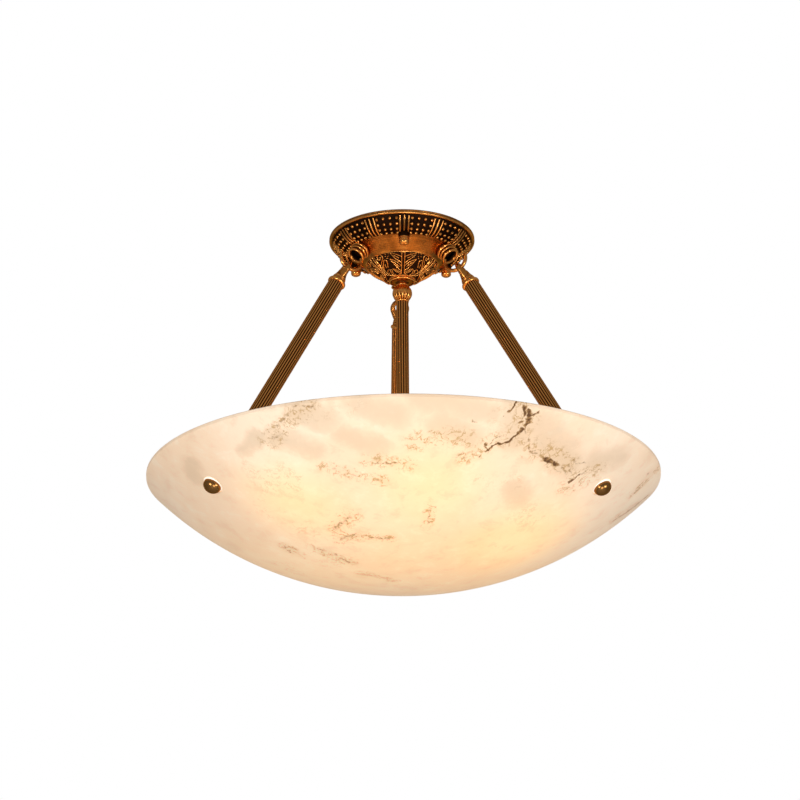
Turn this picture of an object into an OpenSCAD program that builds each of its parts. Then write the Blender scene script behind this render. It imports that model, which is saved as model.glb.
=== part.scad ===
// Semi-flush ceiling light: an alabaster bowl hung by three fluted brass arms from a cast canopy.
// The origin is on the ceiling at the centre of the mounting plate, +Z is up, and -Y is the front.
// All lengths are in millimetres.

/* [Canopy] */
// Radius of the canopy's rolled rim
canopy_r = 74; // [73.5:0.5:78]
// Height of the rolled rim
rim_h = 5.4; // [5:0.1:5.8]
// Wall thickness of the cast canopy
canopy_wall = 2.4; // [1.8:0.1:3]
// Outer radius at the top of the smooth conical collar
collar_top_r = 54; // [53:0.5:55]
// Outer radius at the foot of the smooth conical collar
collar_foot_r = 37.7; // [36.7:0.5:39.2]
// Depth from the ceiling to the top of the collar
collar_top_d = 18.2; // [17.7:0.5:18.7]
// Depth from the ceiling to the foot of the collar
collar_foot_d = 30.4; // [29.9:0.5:32.4]

/* [Mounting plate] */
// Radius of the round mounting plate
plate_r = 59; // [58.5:0.5:62]
// Thickness of the mounting plate
plate_t = 2.5; // [2:0.5:3]
// Distance between the two ceiling-box screw holes
box_hole_gap = 88.9; // [82:0.1:90]
// Radius of each ceiling-box screw hole
box_hole_r = 2.6; // [2:0.1:3]
// Radius of the wire hole in the plate
wire_hole_r = 16; // [12:0.5:17]
// Radius of the circle that the three canopy studs stand on
stud_circle_r = 53.5; // [53.2:0.1:54.5]
// Radius of each canopy stud
stud_r = 2.5; // [2:0.1:2.8]
// Depth of the flat end of the three cast stud posts
post_d = 22.7; // [22.6:0.1:24]
// Radius of each cast stud post
post_r = 5.5; // [5:0.1:5.7]
// Height of each domed canopy nut
canopy_nut_h = 7.2; // [7:0.2:9]

/* [Centre ornament] */
// Depth from the foot of the collar to the foot of the acanthus cup
cup_h = 16.4; // [15.4:0.5:17.4]
// Radius of the cup's upper edge
cup_top_r = 37.4; // [36:0.2:37.6]
// Radius of the disc below the cup
disc_r = 13.2; // [13:0.1:16]
// Radius of the melon ball
ball_r = 10; // [8.5:0.5:12]
// Height of the melon ball
ball_h = 14.6; // [13.6:0.2:17]
// Radius of the fluted centre stem
stem_r = 6.3; // [6.1:0.1:7]
// Number of flutes round the stem
stem_flutes = 15; // [12:1:18]
// Outer radius of the threaded nipple
nipple_r = 4.85; // [4.5:0.05:4.9]
// Radius of the nipple's wire bore
nipple_bore_r = 3.4; // [3.1:0.1:3.6]

/* [Hook brackets] */
// Radius of the widest ring of each bracket
barrel_r = 10; // [9.6:0.1:10.4]
// Length of the ringed barrel from the collar to its mouth
barrel_len = 11.8; // [11.5:0.1:12.2]
// Radius of the hook's bend at the middle of its bar
hook_bend_r = 11.8; // [11.5:0.1:12.2]
// Radius of the hook's round bar
hook_bar_r = 2; // [1.8:0.1:2.2]

/* [Arms] */
// Angle of the arms above the horizontal
arm_a = 60.4; // [60:0.1:61]
// Distance of each arm's collar ring from the centre line
ring_r = 76.8; // [76:0.1:78]
// Depth of each arm's collar ring below the ceiling
ring_d = 65.9; // [65:0.1:67]
// Outer radius of the fluted arm tubes
arm_r = 8; // [7.6:0.1:8.6]
// Number of flutes round each arm
arm_flutes = 20; // [16:1:24]
// Radius of the collar ring on each arm
collar_ring_r = 9.4; // [9.2:0.1:10.5]
// Radius of the round wire of the arm's eye
eye_wire_r = 1.9; // [1.7:0.1:2.1]
// Distance along the arm from the collar ring to the hook's bar
eye_reach = 22.8; // [22.4:0.1:23.2]
// Radius of the tie rod inside each arm
tie_r = 3; // [2.5:0.1:3.2]

/* [Bowl] */
// Radius of the alabaster bowl at its rim
bowl_r = 250; // [245:1:255]
// Depth of the bowl from its rim to its lowest point
bowl_h = 103.9; // [100:0.5:106]
// Radius of the sphere that the bowl's outside follows
bowl_curve_r = 360.7; // [355:1:366]
// Depth from the ceiling to the bowl's rim
bowl_rim_d = 259.1; // [257.1:0.5:261.1]
// Thickness of the alabaster
bowl_wall = 9; // [8:0.5:10]
// Radius of the domed nuts outside the bowl
bowl_nut_r = 8.6; // [8:0.1:9]
// Height of the domed nuts outside the bowl
bowl_nut_h = 8; // [7.5:0.5:9]

/* [Lamps] */
// Turn of the three lamps from halfway between the arms
lamp_turn = 4; // [-6:1:6]
// Upward tilt of the lamps
lamp_tilt = 2; // [0:1:8]
// Depth of the middle of the lamp hub below the bowl's rim
hub_below_rim = 28.9; // [25:0.1:31]
// Radius of the lamp hub
hub_r = 17; // [16:0.5:19]
// Radius of each lampholder
holder_r = 17.5; // [16.5:0.5:19]
// Length of each lampholder
holder_len = 42; // [40:1:46]
// Radius of each bulb's screw cap
bulb_cap_r = 13; // [12.5:0.5:13.5]
// Radius of each glass bulb
bulb_r = 27; // [24:0.5:28]
// Length of each glass bulb
bulb_len = 68; // [64:1:72]
// Thickness of the bulbs' glass
bulb_wall = 1; // [0.8:0.1:1.5]

/* [Fits] */
// Radial gap between a thread or pin and its hole
fit_gap = 0.08; // [0.05:0.01:0.1]
// Radial gap of a loose clearance hole
loose_gap = 0.5; // [0.3:0.1:0.8]
// Gap between pieces that turn or slide past each other
turn_gap = 0.3; // [0.3:0.05:0.4]

/* [Hidden] */
$fn = 64;
ARM_AT = [210, 330, 90];
LAMP_AT = [270 + lamp_turn, 30 + lamp_turn, 150 + lamp_turn];
STUD_AT = [270, 150, 30];

// Canopy: where the flare starts under the rim, and the slope of the collar's cone
flare_r = canopy_r - 3.4;
collar_h = collar_foot_d - collar_top_d;
collar_tilt = atan((collar_top_r - collar_foot_r) / collar_h);
floor_t = canopy_wall;
cup_wall = 2;
cup_foot_r = disc_r + 4.6;
cup_foot_d = collar_foot_d + cup_h;

// Stack below the cup, each depth measured from the ceiling
disc_t = 2.2;
neck_h = 4.5;
neck_r = disc_r / 2.1;
ball_top_d = cup_foot_d + disc_t + neck_h;
ball_foot_d = ball_top_d + ball_h;
stem_ring_t = 2.4;
stem_ring_r = stem_r + 0.5;
stem_top_d = ball_foot_d + stem_ring_t;
hub_half = 14;
hub_d = bowl_rim_d + hub_below_rim;
stem_foot_d = hub_d - hub_half + 7.5;
nipple_top_d = collar_foot_d - 11;
nipple_foot_d = stem_top_d + 14;
locknut_t = 3.5;
locknut_r = 8;

// Studs, washers and nuts that hold the canopy up
stud_foot_d = post_d + 6;
washer_t = 1;
canopy_nut_r = post_r - 0.4;
washer_r = post_r - 0.2;

// Barrel of each bracket: normal to the collar's cone, at this depth on its outside
barrel_d = (collar_top_d + collar_foot_d) / 2 - 1.7;
barrel_at_r = collar_foot_r + (collar_foot_d - barrel_d) * tan(collar_tilt);
mouth_r = barrel_r - 1.5;
mouth_bore_r = mouth_r - 2.3;
mouth_floor = 4.6;
screw_r = 2.5;

// Hook: its bend is centred on the arm's own line, so the eye pulls square to the bar
hook_s = eye_reach + hook_bend_r;
hook_at_r = ring_r - hook_s * cos(arm_a);
hook_at_d = ring_d - hook_s * sin(arm_a);
hook_start_a = 172;
hook_sweep_a = 205;
eye_bend_r = 5.7;
eye_mid_s = eye_reach + hook_bar_r + turn_gap - eye_bend_r;
eye_foot_s = 9;
eye_open_s = 13.4;

// Teardrop outline of the eye: a bend of radius r that narrows to half width w at distance s
function eye_outline(r, s, w) = concat([[w, s]], arc([0, eye_mid_s], r, -14, 194, 18), [[-w, s]]);

// Arms: distances along the arm are measured from the collar ring, positive upwards
ring_t = 4;
cone_foot_r = 7.2;
cone_top_r = 4.4;
cone_top_s = 13.5;
flute_depth = 0.9;
arm_bore_r = 5;
socket_h = 7;

// Bowl: the outer sphere's centre, and where each arm's line meets both walls
bowl_c_d = bowl_rim_d + bowl_h - bowl_curve_r;
bowl_in_r = bowl_curve_r - bowl_wall;
rim_ease = 1.4;
function along(radius) = let(
    b = ring_r * cos(arm_a) + (ring_d - bowl_c_d) * sin(arm_a),
    c = pow(ring_r, 2) + pow(ring_d - bowl_c_d, 2) - pow(radius, 2))
    -b + sqrt(pow(b, 2) - c);
spot_r = 10;
// The seats are ground square to the arm, so each lies this far into the curved wall
wall_lean = abs(arm_a - asin((ring_d + along(bowl_curve_r) * sin(arm_a) - bowl_c_d) / bowl_curve_r));
spot_in = spot_r * tan(wall_lean) + 0.15;
outer_seat = along(bowl_curve_r) - spot_in;
inner_seat = along(bowl_in_r) + spot_in;
soft_t = 1.5;
bowl_washer_t = 1.2;
foot_face = inner_seat - soft_t;
foot_h = 15;
foot_r = spot_r - 0.5;
tube_foot = foot_face - foot_h + socket_h;
tie_foot = outer_seat + bowl_washer_t + bowl_nut_h - 2.5;
tie_top = -9;

// Lamp hub, lampholders and bulbs: distances outwards along each lamp's axis
hub_wall = 2.5;
lamp_arm_r = 5;
lamp_arm_bore_r = 3.4;
lamp_arm_in = hub_r - 2.2;
holder_in = 40;
holder_out = holder_in + holder_len;
holder_wall = 2.6;
holder_floor = 5;
bulb_cap_in = holder_in + holder_floor + 5;
bulb_cap_out = holder_out + 1;
lead_r = 0.8;
lead_ring_r = 1.7;

// A point of a circle in the plane, by centre, radius and angle
function on_arc(c, r, a) = [c[0] + r * cos(a), c[1] + r * sin(a)];
// Points along an arc from one angle to another
function arc(c, r, a0, a1, n) = [for (i = [0:n]) on_arc(c, r, a0 + (a1 - a0) * i / n)];

// Outline of a fluted bar: round ridges with hollow grooves between them
function fluted(r, count, depth) = [for (i = [0:count * 6 - 1]) let(a = 60 * i / count)
    (r - depth * (1 - abs(cos(a * count / 2)))) * [cos(a), sin(a)]];

module fluted_bar(r, count, depth, z0, z1) {
    translate([0, 0, z0]) linear_extrude(z1 - z0) polygon(fluted(r, count, depth));
}

// A plain tube or rod along +Z from z0 to z1
module rod(r, z0, z1) {
    translate([0, 0, z0]) cylinder(r = r, h = z1 - z0);
}

module pipe(r, bore, z0, z1) {
    difference() {
        rod(r, z0, z1);
        rod(bore, z0 - 1, z1 + 1);
    }
}

// A ring of round section about Z
module torus(ring, wire, z = 0) {
    translate([0, 0, z]) rotate_extrude() translate([ring, 0]) circle(r = wire);
}

// Domed nut with a blind bore; its flat face is at the origin and its dome points along +Z
module domed_nut(r, h, bore, bore_h, skirt) {
    difference() {
        rotate_extrude() polygon(concat([[0, 0], [r, 0]],
            [for (i = [0:8]) [r * cos(i * 90 / 8), skirt + (h - skirt) * sin(i * 90 / 8)]]));
        rod(bore, -1, bore_h);
    }
}

// A hexagon nut of across-corners radius r on a thread
module hex_nut(r, bore, z0, z1) {
    difference() {
        translate([0, 0, z0]) cylinder(r = r, h = z1 - z0, $fn = 6);
        rod(bore, z0 - 1, z1 + 1);
    }
}

// Places children with +Z up the arm at angle a, and the collar ring at their origin
module on_arm(a) {
    rotate([0, 0, a]) translate([ring_r, 0, -ring_d]) rotate([0, arm_a - 90, 0]) children();
}

// Places children with +Z out of the collar along a bracket's barrel at angle a
module on_barrel(a) {
    rotate([0, 0, a]) translate([barrel_at_r, 0, -barrel_d]) rotate([0, 90 + collar_tilt, 0]) children();
}

// Places children with +Z out along a lamp's axis at angle a, from the hub's middle
module on_lamp(a) {
    rotate([0, 0, a]) translate([0, 0, -hub_d]) rotate([0, 90 - lamp_tilt, 0]) children();
}

// The canopy's flare, from its outer edge at t = 0 to the collar at t = 1: steep under the rim and flat
// at the collar
bead_r = rim_h * 0.4;
flare_top_d = rim_h - 0.2;
function flare_point(t) = [flare_r - (flare_r - collar_top_r) * t,
    -flare_top_d - (collar_top_d - flare_top_d) * sin(90 * pow(t, 0.9))];

// Outline of the canopy's outside from the ceiling down to the collar's foot
function canopy_outside() = concat(
    [[canopy_r - 3.5, 0], [canopy_r - 3.4, -0.9]],
    arc([canopy_r - bead_r, bead_r - rim_h], bead_r, 100, -80, 8),
    [[canopy_r - 3.2, -rim_h + 0.4]],
    [for (i = [0:10]) flare_point(i / 10)],
    [[collar_foot_r, -collar_foot_d]]);

// Outline of the hollow above it, one wall inside
function canopy_inside() = concat(
    [[0, 1], [flare_r - canopy_wall * 0.6, 1]],
    [for (i = [0:10]) flare_point(i / 10) + canopy_wall * [-0.6, 0.8]],
    [[collar_foot_r + floor_t * tan(collar_tilt) - canopy_wall / cos(collar_tilt), -collar_foot_d + floor_t],
        [0, -collar_foot_d + floor_t]]);

// Solid space inside the canopy's outside, used to seat each barrel on it
module canopy_core() {
    rotate_extrude() polygon(concat(canopy_outside(), [[0, -collar_foot_d], [0, 0]]));
}

module mounting_plate() {
    color("silver") difference() {
        rod(plate_r, -plate_t, 0);
        rod(wire_hole_r, -plate_t - 1, 1);
        for (s = [-1, 1]) translate([s * box_hole_gap / 2, 0, 0]) rod(box_hole_r, -plate_t - 1, 1);
        for (a = STUD_AT) rotate([0, 0, a]) translate([stud_circle_r, 0, 0])
            rod(stud_r + fit_gap, -plate_t - 1, 1);
        rotate([0, 0, 245]) translate([24, 0, 0]) rod(1.5 + fit_gap, -plate_t - 1, 1);
    }
}

module canopy_studs() {
    color("silver") for (a = STUD_AT) rotate([0, 0, a]) translate([stud_circle_r, 0, 0])
        rod(stud_r, -stud_foot_d, 0);
}

module canopy() {
    color("peru") difference() {
        union() {
            canopy_core();
            for (a = STUD_AT) rotate([0, 0, a]) translate([stud_circle_r, 0, 0])
            rod(post_r, -post_d, -rim_h - canopy_wall);
        }
        rotate_extrude() polygon(canopy_inside());
        for (a = STUD_AT) rotate([0, 0, a]) translate([stud_circle_r, 0, 0])
            rod(stud_r + loose_gap, -post_d - 1, 1);
        for (a = ARM_AT) on_barrel(a) rod(screw_r + loose_gap / 2, -canopy_wall - 3, 3);
        rod(nipple_r + fit_gap, -collar_foot_d - 1, 0);
    }
}

module canopy_washer(a) {
    color("goldenrod") rotate([0, 0, a]) translate([stud_circle_r, 0, -post_d - washer_t])
        pipe(washer_r, stud_r + fit_gap, 0, washer_t);
}

module canopy_nut(a) {
    color("peru") rotate([0, 0, a]) translate([stud_circle_r, 0, -post_d - washer_t]) mirror([0, 0, 1])
        domed_nut(canopy_nut_r, canopy_nut_h, stud_r + fit_gap, stud_foot_d - post_d - washer_t + 0.6, 4);
}

// Depth of the acanthus cup's outside at radius r
function cup_depth(r) = let(t = (cup_top_r - r) / (cup_top_r - cup_foot_r))
    collar_foot_d + cup_h * (0.8 * t + 0.2 * sin(90 * t));

module acanthus_cup() {
    steps = 12;
    radii = [for (i = [0:steps]) cup_top_r - (cup_top_r - cup_foot_r) * i / steps];
    outside = [for (r = radii) [r, -cup_depth(r)]];
    inside = [for (i = [steps:-1:0]) [max(radii[i] - cup_wall, nipple_r + 4), -cup_depth(radii[i]) + cup_wall * (i / steps)]];
    color("peru") difference() {
        rotate_extrude() polygon(concat(outside, [[0, -cup_foot_d], [0, -cup_foot_d + cup_wall]], inside));
        rod(nipple_r + fit_gap, -cup_foot_d - 1, 0);
    }
}

module finial_disc() {
    color("peru") difference() {
        union() {
            rod(disc_r - disc_t / 2, -cup_foot_d - disc_t, -cup_foot_d);
            torus(disc_r - disc_t / 2, disc_t / 2, -cup_foot_d - disc_t / 2);
            rod(neck_r, -ball_top_d, -cup_foot_d - disc_t / 2);
        }
        rod(nipple_r + fit_gap, -ball_top_d - 1, 0);
    }
}

module melon_ball() {
    mid = ball_h / 2;
    flat_a = asin(nipple_r / ball_r) + 12;
    color("peru") difference() {
        translate([0, 0, -ball_foot_d]) rotate_extrude() polygon(concat([[0, 0]],
            [for (i = [0:20]) let(a = -90 + flat_a + (180 - 2 * flat_a) * i / 20)
                [ball_r * cos(a), mid + mid * sin(a) / cos(flat_a)]], [[0, ball_h]]));
        rod(nipple_r + fit_gap, -ball_foot_d - 1, 0);
    }
}

module stem_ring() {
    color("peru") difference() {
        union() {
            rod(stem_ring_r - stem_ring_t / 2, -stem_top_d, -ball_foot_d);
            torus(stem_ring_r - stem_ring_t / 2, stem_ring_t / 2, -ball_foot_d - stem_ring_t / 2);
        }
        rod(nipple_r + fit_gap, -stem_top_d - 1, 0);
    }
}

module centre_stem() {
    color("peru") difference() {
        fluted_bar(stem_r, stem_flutes, 0.5, -stem_foot_d, -stem_top_d);
        rod(nipple_r + fit_gap, -stem_foot_d - 1, -stem_top_d + 1);
    }
}

module nipple() {
    color("silver") pipe(nipple_r, nipple_bore_r, -nipple_foot_d, -nipple_top_d);
}

module nipple_locknuts() {
    floor_d = collar_foot_d - floor_t;
    color("silver") {
        hex_nut(locknut_r, nipple_r + fit_gap, -floor_d, -floor_d + locknut_t);
        translate([0, 0, -floor_d + locknut_t + 0.3])
            hex_nut(locknut_r, nipple_r + fit_gap, 0, locknut_t);
    }
}

// Section of the barrel: a neck, two rolled rings, a rolled mouth and a flat-bottomed hollow
function barrel_section() = let(ring = 1.4, lip = 1.6, at = barrel_len * 0.22) concat(
    [[0, -3], [barrel_r - 1.5, -3], [barrel_r - 1.5, at - ring - 0.2]],
    arc([barrel_r - ring, at], ring, -85, 85, 8),
    arc([barrel_r - ring - 0.8, at + ring * 2.4], ring * 0.9, -75, 80, 8),
    [[mouth_r - 0.7, at + ring * 3.4], [mouth_r - 0.7, barrel_len - lip * 2]],
    arc([mouth_r - lip + 0.1, barrel_len - lip], lip, -40, 130, 8),
    [[mouth_bore_r, barrel_len - lip], [mouth_bore_r, mouth_floor], [0, mouth_floor]]);

// Barrel with an open mouth, and the round-bar hook that springs from its lower edge
module bracket(a) {
    color("peru") difference() {
        union() {
            on_barrel(a) rotate_extrude() polygon(barrel_section());
            rotate([0, 0, a]) translate([hook_at_r, 0, -hook_at_d]) rotate([90, 0, 0]) {
                rotate([0, 0, hook_start_a]) rotate_extrude(angle = hook_sweep_a)
                    translate([hook_bend_r, 0]) circle(r = hook_bar_r);
                rotate([0, 0, hook_start_a + hook_sweep_a]) translate([hook_bend_r, 0, 0])
                    sphere(r = hook_bar_r * 1.12);
            }
        }
        on_barrel(a) {
            rod(mouth_bore_r, mouth_floor, barrel_len + 2);
            rod(screw_r + loose_gap / 2, -4, barrel_len);
        }
        canopy_core();
    }
}

module bracket_screws() {
    color("silver") for (a = ARM_AT) on_barrel(a) {
        rod(screw_r, -canopy_wall - 6, mouth_floor + 0.5);
        translate([0, 0, mouth_floor]) difference() {
            cylinder(r1 = 4.8, r2 = 3.6, h = 2.6);
            translate([-0.6, -6, 1.4]) cube([1.2, 12, 3]);
        }
    }
}

module bracket_nuts() {
    color("silver") for (a = ARM_AT) on_barrel(a)
        hex_nut(4.6, screw_r + fit_gap, -canopy_wall - 4.2, -canopy_wall - 0.2);
}

block_at = [0, 29.5, -plate_t];
block_size = [26, 12, 11];
earth_at = [24 * cos(245), 24 * sin(245), -plate_t];

module terminal_block() {
    color("ivory") difference() {
        translate(block_at - [block_size[0] / 2, block_size[1] / 2, block_size[2]]) cube(block_size);
        for (s = [-1, 1]) translate(block_at + [s * 6.5, 0, -block_size[2]]) {
            translate([0, 0, -1]) cylinder(r = 2.4, h = 5);
            translate([0, -block_size[1] / 2 - 1, 5]) rotate([-90, 0, 0]) cylinder(r = 1.6, h = 8);
        }
    }
}

module earth_screw() {
    color("olivedrab") translate(earth_at) {
        rod(1.5, -1, plate_t);
        rod(3.2, -2.8, -0.9);
    }
}

// A round lead through a list of points, with ball joints at its bends
module lead(points) {
    for (i = [0:len(points) - 2]) {
        d = points[i + 1] - points[i];
        translate(points[i]) rotate([0, acos(d[2] / norm(d)), atan2(d[1], d[0])]) cylinder(r = lead_r, h = norm(d));
    }
    for (i = [1:len(points) - 2]) translate(points[i]) sphere(r = lead_r * 1.12);
}

// Where each lead runs down the nipple and stem
function in_bore(a, d) = [lead_ring_r * cos(a), lead_ring_r * sin(a), -d];

module supply_lead(a) {
    start = block_at + [6.5, -block_size[1] / 2 + 4, -block_size[2] + 5];
    lead([start, start + [1, -10, -1.5], in_bore(a, nipple_top_d - 5), in_bore(a, hub_d - 4)]);
}

module live_lead() {
    color("saddlebrown") mirror([1, 0, 0]) supply_lead(38);
}

module neutral_lead() {
    color("steelblue") supply_lead(38);
}

module earth_lead() {
    color("olivedrab") lead([earth_at + [1, 4.5, -3.6], earth_at + [2, 10, -7],
        in_bore(270, nipple_top_d - 5), in_bore(270, hub_d - 4)]);
}

module lamp_hub() {
    top_d = hub_d - hub_half;
    color("peru") difference() {
        union() {
            rod(hub_r, -hub_d - hub_half, -top_d);
            rod(stem_r + 3, -top_d, -top_d + 6);
        }
        rod(hub_r - hub_wall, -hub_d - hub_half - 1, -top_d - hub_wall);
        rod(stem_r + fit_gap, -stem_foot_d, -top_d + 7);
        rod(nipple_bore_r, -top_d - hub_wall - 1, -top_d + 7);
        for (a = LAMP_AT) on_lamp(a) rod(lamp_arm_r + fit_gap, lamp_arm_in - 2, hub_r + 4);
    }
}

module hub_cover() {
    low_d = hub_d + hub_half;
    color("peru") translate([0, 0, -low_d]) mirror([0, 0, 1]) union() {
        rotate_extrude() polygon(concat([[0, 0], [hub_r, 0]],
            [for (i = [0:6]) [hub_r * cos(i * 12), 1.5 + 6 * sin(i * 12)]], [[0, 7.5]]));
        rod(4, 6, 11);
        translate([0, 0, 14]) sphere(r = 5);
    }
}

module lamp_arm(a) {
    color("peru") on_lamp(a) difference() {
        union() {
            rod(lamp_arm_r, lamp_arm_in, holder_in + holder_floor - 1);
            rod(lamp_arm_r + 2, hub_r + 0.6, hub_r + 3.6);
            rod(lamp_arm_r + 2, holder_in - 3, holder_in);
        }
        rod(lamp_arm_bore_r, lamp_arm_in - 1, holder_in + holder_floor);
    }
}

module lampholder(a) {
    color("ivory") on_lamp(a) difference() {
        union() {
            rod(holder_r, holder_in, holder_out - 4);
            rod(holder_r - 1.2, holder_in, holder_out);
            rod(holder_r + 1.2, holder_out - 7, holder_out - 4);
        }
        rod(bulb_cap_r + turn_gap, holder_in + holder_floor, holder_out + 1);
        rod(lamp_arm_r + fit_gap, holder_in - 1, holder_in + holder_floor + 1);
    }
}

module lampholder_contacts() {
    color("gold") for (a = LAMP_AT) on_lamp(a) {
        rod(lamp_arm_bore_r - 0.2, holder_in + 1, holder_in + holder_floor + 1.2);
        rod(6, holder_in + holder_floor, holder_in + holder_floor + 1.2);
        rod(2, holder_in + holder_floor + 1, bulb_cap_in - 2.2 - turn_gap);
    }
}

// Screw cap with its rolled thread and its tip contact
module bulb_cap(a) {
    color("gainsboro") on_lamp(a) union() {
        rod(bulb_cap_r - 1.1, bulb_cap_in + 3, bulb_cap_out);
        for (i = [0:4]) torus(bulb_cap_r - 1.1, 1.1, bulb_cap_in + 6.5 + i * 3.6);
        translate([0, 0, bulb_cap_in - 0.6]) cylinder(r1 = 5, r2 = bulb_cap_r - 1.1, h = 3.6);
        rod(3.2, bulb_cap_in - 2, bulb_cap_in);
    }
}

// Outline of the bulb's glass at a distance w inside its outer face
function bulb_outline(w) = let(
    neck = bulb_cap_r - 0.6,
    globe_at = bulb_len - bulb_r,
    side_a = 180 - acos((bulb_r - neck) / globe_at) + 12)
    concat([[neck - w, w > 0 ? -1 : 0], [neck - w + 0.6, 6]],
        [for (i = [0:20]) let(t = side_a * (1 - i / 20)) [(bulb_r - w) * sin(t), globe_at + (bulb_r - w) * cos(t)]]);

module bulb_glass(a) {
    color("white", 0.8) on_lamp(a) translate([0, 0, bulb_cap_out]) difference() {
        rotate_extrude() polygon(concat([[0, 0]], bulb_outline(0)));
        rotate_extrude() polygon(concat([[0, -1]], bulb_outline(bulb_wall)));
    }
}

// Cone with two turned grooves, and the eye that hangs on the hook's bar
module arm_eye(a) {
    color("peru") on_arm(a) difference() {
        union() {
            rotate_extrude() polygon([[0, ring_t / 2], [cone_foot_r, ring_t / 2], [cone_foot_r, 4],
                [cone_foot_r - 1, 4.6], [cone_foot_r - 0.4, 5.6], [cone_foot_r - 1.3, 6.4],
                [cone_foot_r - 0.8, 7.4], [cone_top_r, cone_top_s - 1], [0, cone_top_s]]);
            rotate([90, 0, 90]) translate([0, 0, -eye_wire_r]) linear_extrude(2 * eye_wire_r) difference() {
                polygon(eye_outline(eye_bend_r + 2 * eye_wire_r, eye_foot_s, cone_top_r - 0.6));
                polygon(eye_outline(eye_bend_r, eye_open_s, 1.6));
            }
        }
        rod(tie_r + fit_gap, 0, -tie_top + 0.5);
    }
}

module arm_collars() {
    color("peru") for (a = ARM_AT) on_arm(a) difference() {
        union() {
            rod(collar_ring_r - ring_t / 2, -ring_t / 2, ring_t / 2);
            torus(collar_ring_r - ring_t / 2, ring_t / 2);
        }
        rod(tie_r + fit_gap, -ring_t, ring_t);
    }
}

module arm_tube(a) {
    color("peru") on_arm(a) difference() {
        fluted_bar(arm_r, arm_flutes, flute_depth, -tube_foot, -ring_t / 2);
        rod(arm_bore_r, -tube_foot - 1, 0);
    }
}

module tie_rods() {
    color("silver") for (a = ARM_AT) on_arm(a) rod(tie_r, -tie_foot, -tie_top);
}

module arm_feet() {
    color("peru") for (a = ARM_AT) on_arm(a) difference() {
        rotate_extrude() polygon([[0, -foot_face], [foot_r, -foot_face], [foot_r, -foot_face + 2.5],
            [foot_r - 0.6, -foot_face + 4], [arm_r + 1.2, -foot_face + foot_h - 1],
            [arm_r + 0.8, -foot_face + foot_h], [0, -foot_face + foot_h]]);
        rod(arm_r + fit_gap, -tube_foot, -foot_face + foot_h + 1);
        rod(tie_r + fit_gap, -foot_face - 1, -tube_foot + 1);
    }
}

module alabaster_bowl() {
    rim = -bowl_rim_d;
    rim_in_r = sqrt(pow(bowl_in_r, 2) - pow(bowl_rim_d - bowl_c_d, 2));
    color("antiquewhite") difference() {
        intersection() {
            translate([0, 0, -bowl_c_d]) sphere(r = bowl_curve_r, $fn = 180);
            rotate_extrude($fn = 180) polygon([[0, rim - bowl_h - 1], [bowl_r, rim - bowl_h - 1],
                [bowl_r, rim - rim_ease], [bowl_r - rim_ease, rim], [0, rim]]);
        }
        translate([0, 0, -bowl_c_d]) sphere(r = bowl_in_r, $fn = 180);
        translate([0, 0, rim - rim_ease])
            cylinder(r1 = rim_in_r - rim_ease, r2 = rim_in_r + rim_ease * 1.6, h = rim_ease * 1.3, $fn = 180);
        for (a = ARM_AT) on_arm(a) {
            rod(tie_r + loose_gap, -outer_seat - 5, -inner_seat + 5);
            rod(spot_r, -outer_seat - 12, -outer_seat);
            rod(spot_r, -inner_seat, -inner_seat + 12);
        }
    }
}

module inner_washers() {
    color("dimgray") for (a = ARM_AT) on_arm(a) pipe(foot_r - 0.5, tie_r + fit_gap, -inner_seat, -foot_face);
}

module bowl_washer(a) {
    color("gainsboro") on_arm(a)
        pipe(spot_r - 0.4, tie_r + fit_gap, -outer_seat - bowl_washer_t, -outer_seat);
}

module bowl_nut(a) {
    color("peru") on_arm(a) translate([0, 0, -outer_seat - bowl_washer_t]) mirror([0, 0, 1])
        domed_nut(bowl_nut_r, bowl_nut_h, tie_r + fit_gap, bowl_nut_h - 2, 1.2);
}

mounting_plate();
canopy_studs();
canopy();
canopy_washer(STUD_AT[0]);  // canopy_washer_front
canopy_washer(STUD_AT[1]);  // canopy_washer_left
canopy_washer(STUD_AT[2]);  // canopy_washer_right
canopy_nut(STUD_AT[0]);  // canopy_nut_front
canopy_nut(STUD_AT[1]);  // canopy_nut_left
canopy_nut(STUD_AT[2]);  // canopy_nut_right
acanthus_cup();
finial_disc();
melon_ball();
stem_ring();
centre_stem();
nipple();
nipple_locknuts();
bracket(ARM_AT[0]);  // bracket_left
bracket(ARM_AT[1]);  // bracket_right
bracket(ARM_AT[2]);  // bracket_rear
bracket_screws();
bracket_nuts();
terminal_block();
earth_screw();
live_lead();
neutral_lead();
earth_lead();
lamp_hub();
hub_cover();
lamp_arm(LAMP_AT[0]);  // lamp_arm_front
lamp_arm(LAMP_AT[1]);  // lamp_arm_right
lamp_arm(LAMP_AT[2]);  // lamp_arm_left
lampholder(LAMP_AT[0]);  // lampholder_front
lampholder(LAMP_AT[1]);  // lampholder_right
lampholder(LAMP_AT[2]);  // lampholder_left
lampholder_contacts();
bulb_cap(LAMP_AT[0]);  // bulb_cap_front
bulb_cap(LAMP_AT[1]);  // bulb_cap_right
bulb_cap(LAMP_AT[2]);  // bulb_cap_left
bulb_glass(LAMP_AT[0]);  // bulb_glass_front
bulb_glass(LAMP_AT[1]);  // bulb_glass_right
bulb_glass(LAMP_AT[2]);  // bulb_glass_left
arm_eye(ARM_AT[0]);  // arm_eye_left
arm_eye(ARM_AT[1]);  // arm_eye_right
arm_eye(ARM_AT[2]);  // arm_eye_rear
arm_collars();
arm_tube(ARM_AT[0]);  // arm_tube_left
arm_tube(ARM_AT[1]);  // arm_tube_right
arm_tube(ARM_AT[2]);  // arm_tube_rear
tie_rods();
arm_feet();
alabaster_bowl();
inner_washers();
bowl_washer(ARM_AT[0]);  // bowl_washer_left
bowl_washer(ARM_AT[1]);  // bowl_washer_right
bowl_washer(ARM_AT[2]);  // bowl_washer_rear
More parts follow.
